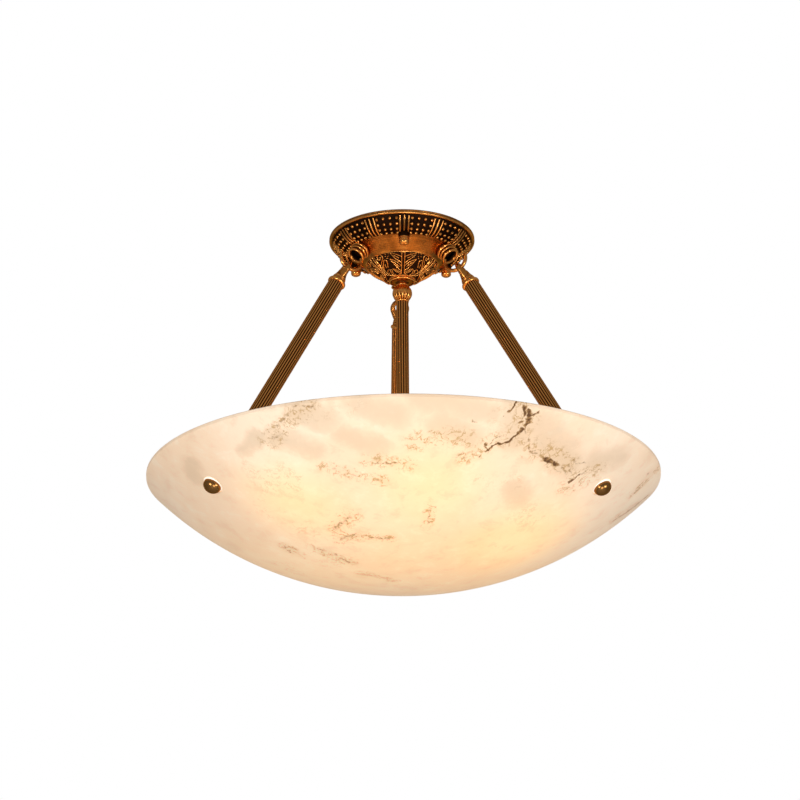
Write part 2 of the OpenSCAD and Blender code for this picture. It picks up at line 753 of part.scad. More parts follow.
bowl_nut(ARM_AT[0]);  // bowl_nut_left
bowl_nut(ARM_AT[1]);  // bowl_nut_right
bowl_nut(ARM_AT[2]);  // bowl_nut_rear
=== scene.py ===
"""Looks of a semi-flush alabaster ceiling light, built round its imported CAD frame.

Sizes in the classes are millimetres and follow the names of the part's source. Meshes are written in
metres, in the frame of the CAD: the ceiling is z = 0, and -Y is the front.
"""
import logging
import math
from collections.abc import Callable, Sequence
from dataclasses import dataclass, field
from enum import Enum

import bmesh
import bpy
import numpy as np
from mathutils import Matrix, Vector


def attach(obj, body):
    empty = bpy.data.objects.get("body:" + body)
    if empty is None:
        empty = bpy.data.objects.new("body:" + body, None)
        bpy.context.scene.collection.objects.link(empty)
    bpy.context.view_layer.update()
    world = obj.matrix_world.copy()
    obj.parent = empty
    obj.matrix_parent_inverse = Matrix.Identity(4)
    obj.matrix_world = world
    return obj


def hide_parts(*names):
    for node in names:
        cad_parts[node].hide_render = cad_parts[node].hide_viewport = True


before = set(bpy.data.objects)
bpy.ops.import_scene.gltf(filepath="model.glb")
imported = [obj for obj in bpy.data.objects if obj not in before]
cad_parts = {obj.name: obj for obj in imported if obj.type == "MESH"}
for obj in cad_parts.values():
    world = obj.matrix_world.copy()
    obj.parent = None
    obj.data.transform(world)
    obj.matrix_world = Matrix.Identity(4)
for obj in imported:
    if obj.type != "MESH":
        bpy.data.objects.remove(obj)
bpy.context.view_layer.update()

LOG = logging.getLogger("ceiling_light")
MM = 0.001
CEILING, BOWL, BRASS = "ceiling_group", "bowl_group", "antique_brass"
FLIP = Matrix.Scale(-1, 4, (0, 0, 1))
Spot = tuple[float, float, float]
Colour = Spot
Point = tuple[float, float]
Profile = Sequence[Point]
Material, Mesh, Node, Tree = bpy.types.Material, bpy.types.Mesh, bpy.types.Node, bpy.types.NodeTree
Socket, Sockets = bpy.types.NodeSocket, bpy.types.bpy_prop_collection


class Station(Enum):
    """Where a repeated piece stands: the value is its angle round the centre line."""

    @property
    def word(self) -> str:
        """The station's word in node and body names."""
        return self.name.lower()


class Side(Station):
    """The three arms."""

    LEFT = 210.0
    RIGHT = 330.0
    REAR = 90.0


class Stud(Station):
    """The three nuts that hold the canopy up."""

    FRONT = 270.0
    LEFT = 150.0
    RIGHT = 30.0


class Lamp(Station):
    """The three lamps in the bowl."""

    FRONT = 274.0
    RIGHT = 34.0
    LEFT = 154.0


@dataclass(frozen=True)
class Plan:
    """Sizes that several pieces share, as in the part's source."""

    collar_top_r: float = 54.0
    collar_top_d: float = 18.2
    collar_foot_r: float = 37.7
    collar_foot_d: float = 30.4
    arm_a: float = 60.4
    ring_r: float = 76.8
    ring_d: float = 65.9
    hub_d: float = 288.0
    lamp_tilt: float = 2.0
    bowl_rim_d: float = 259.1
    bowl_h: float = 103.9
    bowl_curve_r: float = 360.7
    bowl_wall: float = 9.0
    spot_r: float = 10.0
    nipple_bore: float = 4.93

    @property
    def collar_tilt(self) -> float:
        """Slope of the collar's cone, in degrees from the vertical."""
        rise = self.collar_foot_d - self.collar_top_d
        return math.degrees(math.atan2(self.collar_top_r - self.collar_foot_r, rise))

    @property
    def bowl_centre(self) -> float:
        """Depth of the centre of the bowl's spheres."""
        return self.bowl_rim_d + self.bowl_h - self.bowl_curve_r

    def along(self, radius: float) -> float:
        """Distance down an arm from its collar ring to one of the bowl's spheres.

        Args:
            radius: the sphere's radius.

        Returns:
            The distance along the arm's line.
        """
        lean = math.radians(self.arm_a)
        drop = self.ring_d - self.bowl_centre
        b = self.ring_r * math.cos(lean) + drop * math.sin(lean)
        return -b + math.sqrt(b * b - (self.ring_r**2 + drop**2 - radius**2))

    @property
    def seat_in(self) -> float:
        """How far each ground seat lies in the curved wall.

        Returns:
            The distance along the arm.
        """
        meet = self.ring_d + self.along(self.bowl_curve_r) * math.sin(math.radians(self.arm_a))
        lean = abs(self.arm_a - math.degrees(math.asin((meet - self.bowl_centre) / self.bowl_curve_r)))
        return self.spot_r * math.tan(math.radians(lean)) + 0.15

    @property
    def outer_seat(self) -> float:
        """Distance down an arm to the seat on the bowl's outside."""
        return self.along(self.bowl_curve_r) - self.seat_in

    @property
    def inner_seat(self) -> float:
        """Distance down an arm to the seat on the bowl's inside."""
        return self.along(self.bowl_curve_r - self.bowl_wall) + self.seat_in

    def on_arm(self, angle: float) -> Matrix:
        """Frame with +Z up an arm and the collar ring at its origin.

        Args:
            angle: the arm's angle round the centre line.

        Returns:
            The frame's matrix, in millimetres.
        """
        return turned(angle) @ shifted(self.ring_r, -self.ring_d) @ leaned(self.arm_a - 90)

    def on_barrel(self, angle: float) -> Matrix:
        """Frame with +Z out of the collar along a bracket's barrel.

        Args:
            angle: the bracket's angle round the centre line.

        Returns:
            The frame's matrix, in millimetres.
        """
        deep = (self.collar_top_d + self.collar_foot_d) / 2 - 1.7
        out = self.collar_foot_r + (self.collar_foot_d - deep) * math.tan(math.radians(self.collar_tilt))
        return turned(angle) @ shifted(out, -deep) @ leaned(90 + self.collar_tilt)

    def on_lamp(self, angle: float) -> Matrix:
        """Frame with +Z out along a lamp's axis from the middle of the hub.

        Args:
            angle: the lamp's angle round the centre line.

        Returns:
            The frame's matrix, in millimetres.
        """
        return turned(angle) @ shifted(0, -self.hub_d) @ leaned(90 - self.lamp_tilt)


def turned(angle: float) -> Matrix:
    """Turn about the centre line, by degrees."""
    return Matrix.Rotation(math.radians(angle), 4, "Z")


def shifted(out: float, up: float) -> Matrix:
    """Shift outwards and upwards in the radial plane."""
    return Matrix.Translation((out, 0, up))


def leaned(angle: float) -> Matrix:
    """Lean in the radial plane, by degrees."""
    return Matrix.Rotation(math.radians(angle), 4, "Y")


def arc(centre: Point, radius: float, start: float, stop: float, steps: int) -> list[Point]:
    """Points along an arc of a section.

    Args:
        centre: the arc's centre.
        radius: its radius.
        start: its first angle in degrees.
        stop: its last angle in degrees.
        steps: how many steps it has.

    Returns:
        The points in order.
    """
    turns = np.radians(np.linspace(start, stop, steps + 1))
    return [(centre[0] + radius * math.cos(t), centre[1] + radius * math.sin(t)) for t in turns]


class Draft:
    """Points, faces and worn values gathered for one piece, in millimetres."""

    def __init__(self) -> None:
        """Start with no points."""
        self.points: list[np.ndarray] = []
        self.worn: list[np.ndarray] = []
        self.faces: list[tuple[int, ...]] = []
        self.count = 0

    def grid(self, rows: np.ndarray, worn: np.ndarray | float = 0.6, place: Matrix | None = None,
             loop: bool = False, caps: bool = False) -> None:
        """Add a grid of points whose rows close on themselves.

        Args:
            rows: points as rows, columns and coordinates.
            worn: how rubbed each point is, from 0 to 1.
            place: where the grid stands.
            loop: whether the last row joins the first.
            caps: whether both ends are filled.
        """
        n, m = rows.shape[:2]
        flat = rows.reshape(-1, 3)
        if place is not None:
            turn = np.array(place)
            flat = flat @ turn[:3, :3].T + turn[:3, 3]
        self.points.append(flat)
        self.worn.append(np.broadcast_to(np.asarray(worn, float), (n, m)).reshape(-1) if np.ndim(worn) != 1
                         else np.repeat(np.asarray(worn, float), m))
        base = self.count
        for i in range(n if loop else n - 1):
            a, b = base + i * m, base + (i + 1) % n * m
            self.faces += [(a + j, a + (j + 1) % m, b + (j + 1) % m, b + j) for j in range(m)]
        if caps:
            self.faces.append(tuple(base + j for j in range(m)))
            self.faces.append(tuple(base + (n - 1) * m + j for j in range(m)))
        self.count += n * m

    def lathe(self, profile: Profile, place: Matrix | None = None, worn: Sequence[float] | float = 0.6,
              loop: bool = False, segments: int = 72) -> None:
        """Turn a section about +Z.

        Args:
            profile: the section's radius and height, point by point.
            place: where the turned piece stands.
            worn: how rubbed each point of the section is.
            loop: whether the section closes on itself.
            segments: how many segments go round.
        """
        section = np.asarray(profile, float)
        turn = np.arange(segments) * 2 * math.pi / segments
        rows = np.stack([np.outer(section[:, 0], np.cos(turn)), np.outer(section[:, 0], np.sin(turn)),
                         np.repeat(section[:, 1:2], segments, 1)], -1)
        self.grid(rows, np.asarray(worn, float) if np.ndim(worn) else worn, place, loop)

    def bar(self, path: np.ndarray, radii: Sequence[float] | float, place: Matrix | None = None,
            worn: float = 0.7, sides: int = 20) -> None:
        """Sweep a round bar along a path with closed ends.

        Args:
            path: the bar's middle line.
            radii: its radius, or one radius for each point.
            place: where the bar stands.
            worn: how rubbed it is.
            sides: how many sides it has.
        """
        path = np.asarray(path, float)
        radii = np.broadcast_to(np.asarray(radii, float), (len(path),))
        ahead = np.gradient(path, axis=0)
        ahead /= np.linalg.norm(ahead, axis=1)[:, None]
        flat = np.linalg.svd(path - path.mean(0))[2][2]
        across = np.cross(ahead, flat)
        across /= np.linalg.norm(across, axis=1)[:, None]
        up = np.cross(across, ahead)
        turn = np.arange(sides) * 2 * math.pi / sides
        rows = path[:, None] + radii[:, None, None] * (np.cos(turn)[None, :, None] * across[:, None]
                                                       + np.sin(turn)[None, :, None] * up[:, None])
        self.grid(rows, worn, place, caps=True)

    def raw(self, name: str, unit: float = 1.0) -> Mesh:
        """Make the mesh as drawn, with its worn values.

        Args:
            name: the mesh's name.
            unit: what the points are multiplied by.

        Returns:
            The mesh.
        """
        mesh = bpy.data.meshes.new(name)
        mesh.from_pydata(np.concatenate(self.points) * unit, [], self.faces)
        rubbed = mesh.attributes.new("worn", "FLOAT", "POINT")
        rubbed.data.foreach_set("value", np.concatenate(self.worn).astype(np.float32))
        return mesh

    def mesh(self, name: str, sharp: float = 38.0) -> Mesh:
        """The mesh in metres, merged and facing outwards."""
        return trued(self.raw(name, MM), sharp)

    def place(self, name: str, finish: Material, node: str, body: str = CEILING, slot: str = BRASS,
              sharp: float = 38.0) -> None:
        """Put the piece into the scene in the place of its CAD node."""
        place_piece(name, self.mesh(name, sharp), finish, node, body)


def trued(mesh: Mesh, sharp: float) -> Mesh:
    """Merge doubles, turn faces outwards and set the shading.

    Args:
        mesh: the mesh to work on.
        sharp: the angle in degrees from which an edge is sharp.

    Returns:
        The same mesh.
    """
    work = bmesh.new()
    work.from_mesh(mesh)
    bmesh.ops.remove_doubles(work, verts=work.verts, dist=2e-6)
    bmesh.ops.dissolve_degenerate(work, edges=work.edges, dist=1e-7)
    bmesh.ops.recalc_face_normals(work, faces=work.faces)
    work.to_mesh(mesh)
    work.free()
    mesh.shade_smooth()
    mesh.set_sharp_from_angle(angle=math.radians(sharp))
    return mesh


def place_piece(name: str, mesh: Mesh, finish: Material, node: str, body: str = CEILING) -> None:
    """Put a finished mesh into the scene in the place of its CAD node.

    Args:
        name: the piece's name.
        mesh: its mesh, in metres.
        finish: its material.
        node: the CAD node that it stands for.
        body: the body that it rides on.
    """
    mesh.materials.clear()
    mesh.materials.append(finish)
    piece = bpy.data.objects.new(name, mesh)
    bpy.context.scene.collection.objects.link(piece)
    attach(piece, body)
    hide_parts(node)
    LOG.info("%s stands for %s", name, node)


class Pen:
    """Writes nodes and links into one node tree."""

    def __init__(self, tree: Tree) -> None:
        """Hold the tree."""
        self.tree = tree

    def feed(self, node: Node, inputs: dict[str | int, object]) -> None:
        """Set or link inputs of a node.

        Args:
            node: the node.
            inputs: values or sockets, by the input's name or number.
        """
        for key, value in inputs.items():
            if isinstance(value, Socket):
                self.tree.links.new(value, node.inputs[key])
            else:
                node.inputs[key].default_value = value

    def add(self, kind: str, inputs: dict[str | int, object] | None = None, **settings: object) -> Node:
        """Add a node.

        Args:
            kind: the node's type.
            inputs: values or sockets for its inputs, by name or number.
            settings: its properties.

        Returns:
            The node.
        """
        node = self.tree.nodes.new(kind)
        for key, value in settings.items():
            setattr(node, key, value)
        self.feed(node, inputs or {})
        return node

    def one(self, kind: str, inputs: dict[str | int, object] | None = None, **settings: object) -> Socket:
        """A new node's first output."""
        return self.add(kind, inputs, **settings).outputs[0]

    def group(self, tree: Tree, inputs: dict[str | int, object]) -> Sockets:
        """The outputs of a shader group."""
        return self.add("ShaderNodeGroup", inputs, node_tree=tree).outputs

    def calc(self, operation: str, a: object, b: object = 0.0, c: object = 0.0, clamp: bool = False) -> Socket:
        """A math node's result."""
        return self.one("ShaderNodeMath", {0: a, 1: b, 2: c}, operation=operation, use_clamp=clamp)

    def times(self, a: object, b: object) -> Socket:
        """Two numbers multiplied."""
        return self.calc("MULTIPLY", a, b)

    def minus(self, a: object, b: object) -> Socket:
        """One number less another."""
        return self.calc("SUBTRACT", a, b)

    def joined(self, x: object = 0.0, y: object = 0.0, z: object = 0.0) -> Socket:
        """A vector from its three parts."""
        return self.one("ShaderNodeCombineXYZ", {0: x, 1: y, 2: z})

    def vector(self, operation: str, a: object, b: object = (0.0, 0.0, 0.0)) -> Socket:
        """A vector math node's vector."""
        return self.add("ShaderNodeVectorMath", {0: a, 1: b}, operation=operation).outputs["Vector"]

    def measure(self, operation: str, a: object, b: object = (0.0, 0.0, 0.0)) -> Socket:
        """A vector math node's number."""
        return self.add("ShaderNodeVectorMath", {0: a, 1: b}, operation=operation).outputs["Value"]

    def grown(self, a: object, by: object) -> Socket:
        """A vector scaled by a number."""
        return self.add("ShaderNodeVectorMath", {0: a, "Scale": by}, operation="SCALE").outputs["Vector"]

    def noise(self, vector: object, scale: object, detail: float = 3.0, rough: float = 0.5) -> Node:
        """A noise node."""
        return self.add("ShaderNodeTexNoise", {"Vector": vector, "Scale": scale, "Detail": detail, "Roughness": rough})

    def fog(self, vector: object, scale: object, detail: float = 3.0, rough: float = 0.5) -> Socket:
        """A noise node's grey value."""
        return self.noise(vector, scale, detail, rough).outputs["Fac"]

    def bump(self, height: object, strength: float, distance: float) -> Socket:
        """A bump node's normal."""
        return self.one("ShaderNodeBump", {"Strength": strength, "Distance": distance, "Height": height})

    def span(self, value: object, low: object, high: object, to_low: object = 0.0, to_high: object = 1.0,
             smooth: bool = True) -> Socket:
        """A value mapped from one range to another.

        Args:
            value: the value to map.
            low: the start of its range.
            high: the end of its range.
            to_low: what the start maps to.
            to_high: what the end maps to.
            smooth: whether the step is eased. An eased step clamps itself, and a clamp there would overrun
                the renderer's stack.

        Returns:
            The mapped value's socket.
        """
        limits = {"Value": value, "From Min": low, "From Max": high, "To Min": to_low, "To Max": to_high}
        kind = "SMOOTHSTEP" if smooth else "LINEAR"
        return self.one("ShaderNodeMapRange", limits, interpolation_type=kind, clamp=not smooth)

    def mixed(self, factor: object, a: object, b: object) -> Socket:
        """Two colours mixed."""
        a, b = (c if isinstance(c, Socket) or len(c) == 4 else (*c, 1.0) for c in (a, b))
        return self.add("ShaderNodeMix", {0: factor, 6: a, 7: b}, data_type="RGBA").outputs[2]


def shader_group(name: str, inputs: Sequence[tuple[str, str, object]],
                 outputs: Sequence[tuple[str, str]]) -> tuple[Tree, Pen, Node, Node]:
    """Start a shader node group with named sockets.

    Args:
        name: the group's name.
        inputs: each input's name, kind and default.
        outputs: each output's name and kind.

    Returns:
        The tree, its pen, and its input and output nodes.
    """
    tree = bpy.data.node_groups.new(name, "ShaderNodeTree")
    for label, kind, start in inputs:
        socket = tree.interface.new_socket(label, in_out="INPUT", socket_type="NodeSocket" + kind)
        if start is not None:
            socket.default_value = start
    for label, kind in outputs:
        tree.interface.new_socket(label, in_out="OUTPUT", socket_type="NodeSocket" + kind)
    pen = Pen(tree)
    return tree, pen, pen.add("NodeGroupInput"), pen.add("NodeGroupOutput")


def cast_grain_group() -> Tree:
    """Group with the broad tone and the fine grain of a casting or a moulding.

    Returns:
        The group's tree.
    """
    tree, pen, given, out = shader_group(
        "CastGrain", [("Vector", "Vector", None), ("Scale", "Float", 400.0)], [("Tone", "Float"), ("Height", "Float")])
    vector, scale = given.outputs[:2]
    tone = pen.fog(vector, pen.times(scale, 0.12), 4, 0.6)
    fine = pen.fog(vector, scale, 4, 0.65)
    pit = pen.fog(vector, pen.times(scale, 3.0), 2, 0.5)
    pen.feed(out, {"Tone": pen.span(tone, 0.3, 0.7), "Height": pen.calc("MULTIPLY_ADD", pit, 0.35, fine)})
    return tree


def aged_metal_group(grain: Tree) -> Tree:
    """Group that darkens hollows and brightens rubbed places of a metal.

    Args:
        grain: the group with tone and grain.

    Returns:
        The group's tree.
    """
    tree, pen, given, out = shader_group(
        "AgedMetal",
        [("Vector", "Vector", None), ("Worn", "Float", 0.6), ("Reach", "Float", 0.002), ("Grain Scale", "Float", 500.0),
         ("Dark", "Color", (0.03, 0.015, 0.01, 1)), ("Middle", "Color", (0.4, 0.2, 0.06, 1)),
         ("Bright", "Color", (0.8, 0.45, 0.15, 1))],
        [("Color", "Color"), ("Roughness", "Float"), ("Height", "Float")])
    pick = given.outputs
    cast = pen.group(grain, {"Vector": pick["Vector"], "Scale": pick["Grain Scale"]})
    near = pen.add("ShaderNodeAmbientOcclusion", {"Distance": pick["Reach"]}, samples=8, only_local=True).outputs["AO"]
    lit = pen.times(pen.span(near, 0.35, 0.95), pen.span(pick["Worn"], 0.05, 0.6))
    tone = pen.calc("MULTIPLY_ADD", cast["Tone"], 0.34, -0.17)
    level = pen.calc("ADD", lit, pen.times(tone, lit), clamp=True)
    body = pen.mixed(pen.span(level, 0.05, 0.72), pick["Dark"], pick["Middle"])
    rubbed = pen.times(pen.span(pick["Worn"], 0.55, 1.0), pen.span(level, 0.45, 1.0))
    speck = pen.span(cast["Height"], 0.45, 0.95, 0.75, 1.0)
    pen.feed(out, {"Color": pen.mixed(pen.times(rubbed, speck), body, pick["Bright"]),
                   "Roughness": pen.span(level, 0.0, 1.0, 0.60, 0.24, smooth=False), "Height": cast["Height"]})
    return tree


def vein_group() -> Tree:
    """Group with the mask of one vein: how near a point is to a straight run.

    Returns:
        The group's tree.
    """
    tree, pen, given, out = shader_group(
        "Vein", [("Vector", "Vector", None), ("Start", "Vector", None), ("End", "Vector", None),
                 ("Width", "Float", 0.002)], [("Mask", "Float")])
    vector, start, end, width = given.outputs[:4]
    reach, run = pen.vector("SUBTRACT", vector, start), pen.vector("SUBTRACT", end, start)
    share = pen.calc("DIVIDE", pen.measure("DOT_PRODUCT", reach, run), pen.measure("DOT_PRODUCT", run, run))
    share = pen.calc("MINIMUM", pen.calc("MAXIMUM", share, 0.0), 1.0)
    gap = pen.measure("LENGTH", pen.vector("SUBTRACT", reach, pen.grown(run, share)))
    pen.feed(out, {"Mask": pen.span(gap, width, 0.0)})
    return tree


def stone_group() -> Tree:
    """Group with the clouds, mottle and crackle of alabaster, and a warped place for its veins.

    Returns:
        The group's tree.
    """
    tree, pen, given, out = shader_group(
        "StoneClouds", [("Vector", "Vector", None)],
        [("Place", "Vector"), ("Cloud", "Float"), ("Mottle", "Float"), ("Crackle", "Float"), ("Patch", "Float")])
    vector = given.outputs[0]

    def warp(source: object, scale: float, by: float) -> Socket:
        """Shift a place by a noise's colour."""
        colour = pen.noise(source, scale, 3, 0.6).outputs["Color"]
        return pen.vector("ADD", source, pen.grown(pen.vector("SUBTRACT", colour, (0.5, 0.5, 0.5)), by))

    wide = warp(vector, 9.0, 0.07)
    crackle: object = 0.0
    for scale, width in ((62.0, 0.030), (125.0, 0.034)):
        seam = pen.fog(warp(vector, 90.0, 0.010), scale, 3, 0.6)
        ridge = pen.calc("ABSOLUTE", pen.minus(seam, 0.5))
        crackle = pen.calc("MAXIMUM", pen.span(ridge, width, width * 0.2), crackle)
    pen.feed(out, {"Place": warp(warp(vector, 38.0, 0.019), 160.0, 0.0065), "Cloud": pen.fog(wide, 7.5, 5, 0.55),
                   "Mottle": pen.fog(warp(vector, 30.0, 0.02), 48.0, 8, 0.66),
                   "Crackle": pen.times(crackle, pen.span(pen.fog(vector, 150.0, 3, 0.6), 0.40, 0.58)),
                   "Patch": pen.span(pen.fog(wide, 15.0, 3, 0.5), 0.55, 0.68)})
    return tree


class VeinTone(Enum):
    """How a vein is coloured."""

    DARK = "dark brown mineral"
    OCHRE = "ochre line"
    HAZE = "grey-brown haze"
    SQUIGGLE = "patch of broken ochre squiggles"


@dataclass(frozen=True)
class VeinRun:
    """One run of a vein between two places of the bowl, each an angle and a radius."""

    start: Point
    end: Point
    width: float
    tone: VeinTone


def vein_runs(tone: VeinTone, *rows: tuple[float, float, float, float, float]) -> list[VeinRun]:
    """Runs of one tone, each from its start's angle and radius, its end's, and its width."""
    return [VeinRun((a, b), (c, d), width, tone) for a, b, c, d, width in rows]


@dataclass(frozen=True)
class Finish:
    """A finish with its name; each kind dresses its own material."""

    name: str

    def start(self) -> tuple[Material, Pen, Node]:
        """Begin the material.

        Returns:
            The material, its pen and its shader.
        """
        material = bpy.data.materials.new(self.name)
        material.use_nodes = True
        return material, Pen(material.node_tree), material.node_tree.nodes["Principled BSDF"]

    @staticmethod
    def place(pen: Pen) -> Socket:
        """The Object coordinates."""
        return pen.add("ShaderNodeTexCoord").outputs["Object"]


@dataclass(frozen=True)
class AgedBrass(Finish):
    """Antique brass: dark patina in the hollows and a rubbed copper-gold tone on what stands out."""

    grain: Tree
    aged: Tree
    reach: float = 2.2
    grain_scale: float = 520.0
    bump: float = 0.12
    turning: float = 0.0
    dark: Colour = (0.026, 0.011, 0.006)
    middle: Colour = (0.40, 0.140, 0.026)
    bright: Colour = (0.98, 0.43, 0.105)

    def turning_marks(self, pen: Pen, colour: Socket,
                      height: Socket) -> tuple[Socket, Socket]:
        """Ring marks and a light cloud, as a lathe and a rag leave them.

        Args:
            pen: the material's pen.
            colour: the colour without marks.
            height: the height without marks.

        Returns:
            The colour and the height with marks.
        """
        here = self.place(pen)
        x, y, z = pen.add("ShaderNodeSeparateXYZ", {0: here}).outputs
        out = pen.calc("SQRT", pen.calc("ADD", pen.times(x, x), pen.times(y, y)))
        mark = pen.fog(pen.joined(out, z), 2200.0, 2, 0.6)
        cloud = pen.fog(here, 55.0, 4, 0.6)
        least = 1 - self.turning
        streak = pen.times(pen.span(mark, 0.35, 0.65, least, 1.0), pen.span(cloud, 0.35, 0.6, least, 1.0))
        colour = pen.vector("MULTIPLY", colour, pen.joined(streak, streak, streak))
        return colour, pen.calc("MULTIPLY_ADD", mark, 1.6, height)

    def build(self) -> Material:
        """Make the material.

        Returns:
            The material.
        """
        material, pen, shader = self.start()
        worn = pen.add("ShaderNodeAttribute", attribute_name="worn", attribute_type="GEOMETRY").outputs["Fac"]
        aged = pen.group(self.aged, {
            "Vector": self.place(pen), "Worn": worn, "Reach": self.reach * MM, "Grain Scale": self.grain_scale,
            "Dark": (*self.dark, 1.0), "Middle": (*self.middle, 1.0), "Bright": (*self.bright, 1.0)})
        colour, height = aged["Color"], aged["Height"]
        if self.turning:
            colour, height = self.turning_marks(pen, colour, height)
        pen.feed(shader, {"Base Color": colour, "Roughness": aged["Roughness"],
                          "Normal": pen.bump(height, self.bump, 0.0004),
                          "Metallic": 1.0, "Specular Tint": (1.0, 0.66, 0.40, 1.0)})
        return material


@dataclass(frozen=True)
class Plain(Finish):
    """A plain metal, plastic, rubber or ceramic with a slight tone and grain."""

    grain: Tree
    light: Colour
    deep: Colour
    rough: Point = (0.35, 0.55)
    metal: float = 0.0
    grain_scale: float = 600.0
    bump: float = 0.08
    coat: float = 0.0
    glow: Colour = (0.0, 0.0, 0.0)
    glow_strength: float = 0.0

    def build(self) -> Material:
        """Make the material.

        Returns:
            The material.
        """
        material, pen, shader = self.start()
        cast = pen.group(self.grain, {"Vector": self.place(pen), "Scale": self.grain_scale})
        pen.feed(shader, {"Base Color": pen.mixed(cast["Tone"], self.deep, self.light),
                          "Roughness": pen.span(cast["Tone"], 0, 1, *self.rough, smooth=False),
                          "Normal": pen.bump(cast["Height"], self.bump, 0.0003),
                          "Metallic": self.metal, "Coat Weight": self.coat})
        # Emission: on the bulbs' glass it is their own lamp light; on the washers it is a painted glow.
        if self.glow_strength:
            pen.feed(shader, {"Emission Color": (*self.glow, 1.0), "Emission Strength": self.glow_strength})
        return material


@dataclass(frozen=True)
class LitAlabaster(Finish):
    """Veined alabaster with a painted glow: its emission stands in for the light of the three lamps shining through it.
    """

    stone: Tree
    vein: Tree
    plan: Plan
    runs: tuple[VeinRun, ...]
    # Painted glow spots: each is an angle, a radius, a size and a strength of a warm pool of light on the bowl.
    painted_glow_spots: tuple[tuple[float, float, float, float], ...]
    honey: Colour = (0.93, 0.73, 0.545)
    cream: Colour = (0.96, 0.80, 0.635)
    pale: Colour = (0.97, 0.87, 0.72)
    grey: Colour = (0.66, 0.505, 0.35)
    ochre: Colour = (0.50, 0.31, 0.12)
    sienna: Colour = (0.34, 0.195, 0.080)
    umber: Colour = (0.115, 0.055, 0.024)
    # Painted light: the tint that warms and deepens the base colour inside the glow spots.
    painted_glow_tint: Colour = (1.0, 0.91, 0.74)
    # Painted glow: an even emission over the whole bowl, and a warm emission that is added in the glow spots.
    even_glow: Colour = (0.158, 0.118, 0.084)
    warm_glow: Colour = (1.0, 0.70, 0.34)

    def on_bowl(self, at: Point) -> Spot:
        """A place on the bowl's outside.

        Args:
            at: its angle in degrees and its radius in millimetres.

        Returns:
            The place in metres.
        """
        turn, radius = math.radians(at[0]), min(at[1], 250.0)
        depth = self.plan.bowl_centre + math.sqrt(self.plan.bowl_curve_r**2 - radius**2)
        return (radius * math.cos(turn) * MM, radius * math.sin(turn) * MM, -depth * MM)

    def veins(self, pen: Pen, place: Socket, tone: VeinTone) -> Socket:
        """The strongest mask of all runs of one tone.

        Args:
            pen: the material's pen.
            place: the warped place.
            tone: which runs are taken.

        Returns:
            The mask's socket.
        """
        mask: object = 0.0
        for run in (r for r in self.runs if r.tone is tone):
            near = pen.group(self.vein, {"Vector": place, "Start": self.on_bowl(run.start),
                                         "End": self.on_bowl(run.end), "Width": run.width * MM})
            mask = pen.calc("MAXIMUM", near["Mask"], mask)
        return mask

    def body_colour(self, pen: Pen, here: Socket, pick: Sockets) -> Socket:
        """The stone's clouds, haze, squiggles and veins.

        Args:
            pen: the material's pen.
            here: the place on the bowl.
            pick: the outputs of the stone's group.

        Returns:
            The colour's socket.
        """
        place, mottle = pick["Place"], pick["Mottle"]
        colour = pen.mixed(pen.span(pick["Cloud"], 0.38, 0.62), self.honey, self.cream)
        colour = pen.mixed(pen.span(mottle, 0.50, 0.72, 0, 0.5), colour, self.pale)
        haze = self.veins(pen, place, VeinTone.HAZE)
        ragged = pen.calc("MULTIPLY_ADD", pen.minus(mottle, 0.5), 2.2, haze)
        shade = pen.times(pen.span(ragged, -0.2, 1.1), pen.span(haze, 0.0, 0.5, 0.0, 0.56))
        colour = pen.mixed(shade, colour, self.grey)
        colour = pen.mixed(pen.span(mottle, 0.48, 0.32, 0, 0.30), colour, self.grey)
        patch = pen.calc("MAXIMUM", self.veins(pen, place, VeinTone.SQUIGGLE), pen.times(pick["Patch"], 0.28))
        colour = pen.mixed(pen.times(patch, 0.12), colour, self.ochre)
        colour = pen.mixed(pen.times(pick["Crackle"], pen.span(patch, 0.0, 0.7, 0.0, 0.8)), colour, self.ochre)
        dust = pen.fog(here, 420.0, 3, 0.6)
        line = pen.times(self.veins(pen, place, VeinTone.OCHRE), pen.span(dust, 0.38, 0.6, 0.2, 0.95))
        colour = pen.mixed(line, colour, self.sienna)
        deep = pen.times(self.veins(pen, place, VeinTone.DARK), pen.span(dust, 0.3, 0.55, 0.4, 1.0))
        colour = pen.mixed(pen.span(deep, 0.0, 0.35), colour, self.sienna)
        return pen.mixed(pen.span(deep, 0.3, 0.8), colour, self.umber)

    def build(self) -> Material:
        """Make the material.

        Returns:
            The material.
        """
        material, pen, shader = self.start()
        here = self.place(pen)
        pick = pen.group(self.stone, {"Vector": here})
        colour = self.body_colour(pen, here, pick)
        painted_glow_pool: object = 0.0
        # Painted light: warm pools of glow at listed places on the bowl.
        for angle, radius, size, power in self.painted_glow_spots:
            gap = pen.measure("DISTANCE", here, self.on_bowl((angle, radius)))
            painted_glow_pool = pen.calc("ADD", painted_glow_pool, pen.span(gap, size * MM, 0.0, 0.0, power))
        # Painted light: the colour is warmed and deepened where the glow spots are.
        colour = pen.mixed(pen.span(painted_glow_pool, 0.02, 0.34), colour, pen.vector("MULTIPLY", colour, self.painted_glow_tint))
        # Painted glow: the bowl emits its own colour, evenly and more in the glow spots, in place of the lamps' light
        # passing through the stone.
        glow = pen.vector("ADD", self.even_glow, pen.grown(self.warm_glow, painted_glow_pool))
        pen.feed(shader, {"Base Color": colour, "Emission Color": pen.vector("MULTIPLY", colour, glow),
                          "Roughness": pen.span(pick["Mottle"], 0.2, 0.8, 0.28, 0.42),
                          "Normal": pen.bump(pick["Mottle"], 0.05, 0.0006),
                          "Emission Strength": 1.0, "Specular IOR Level": 0.35})
        return material


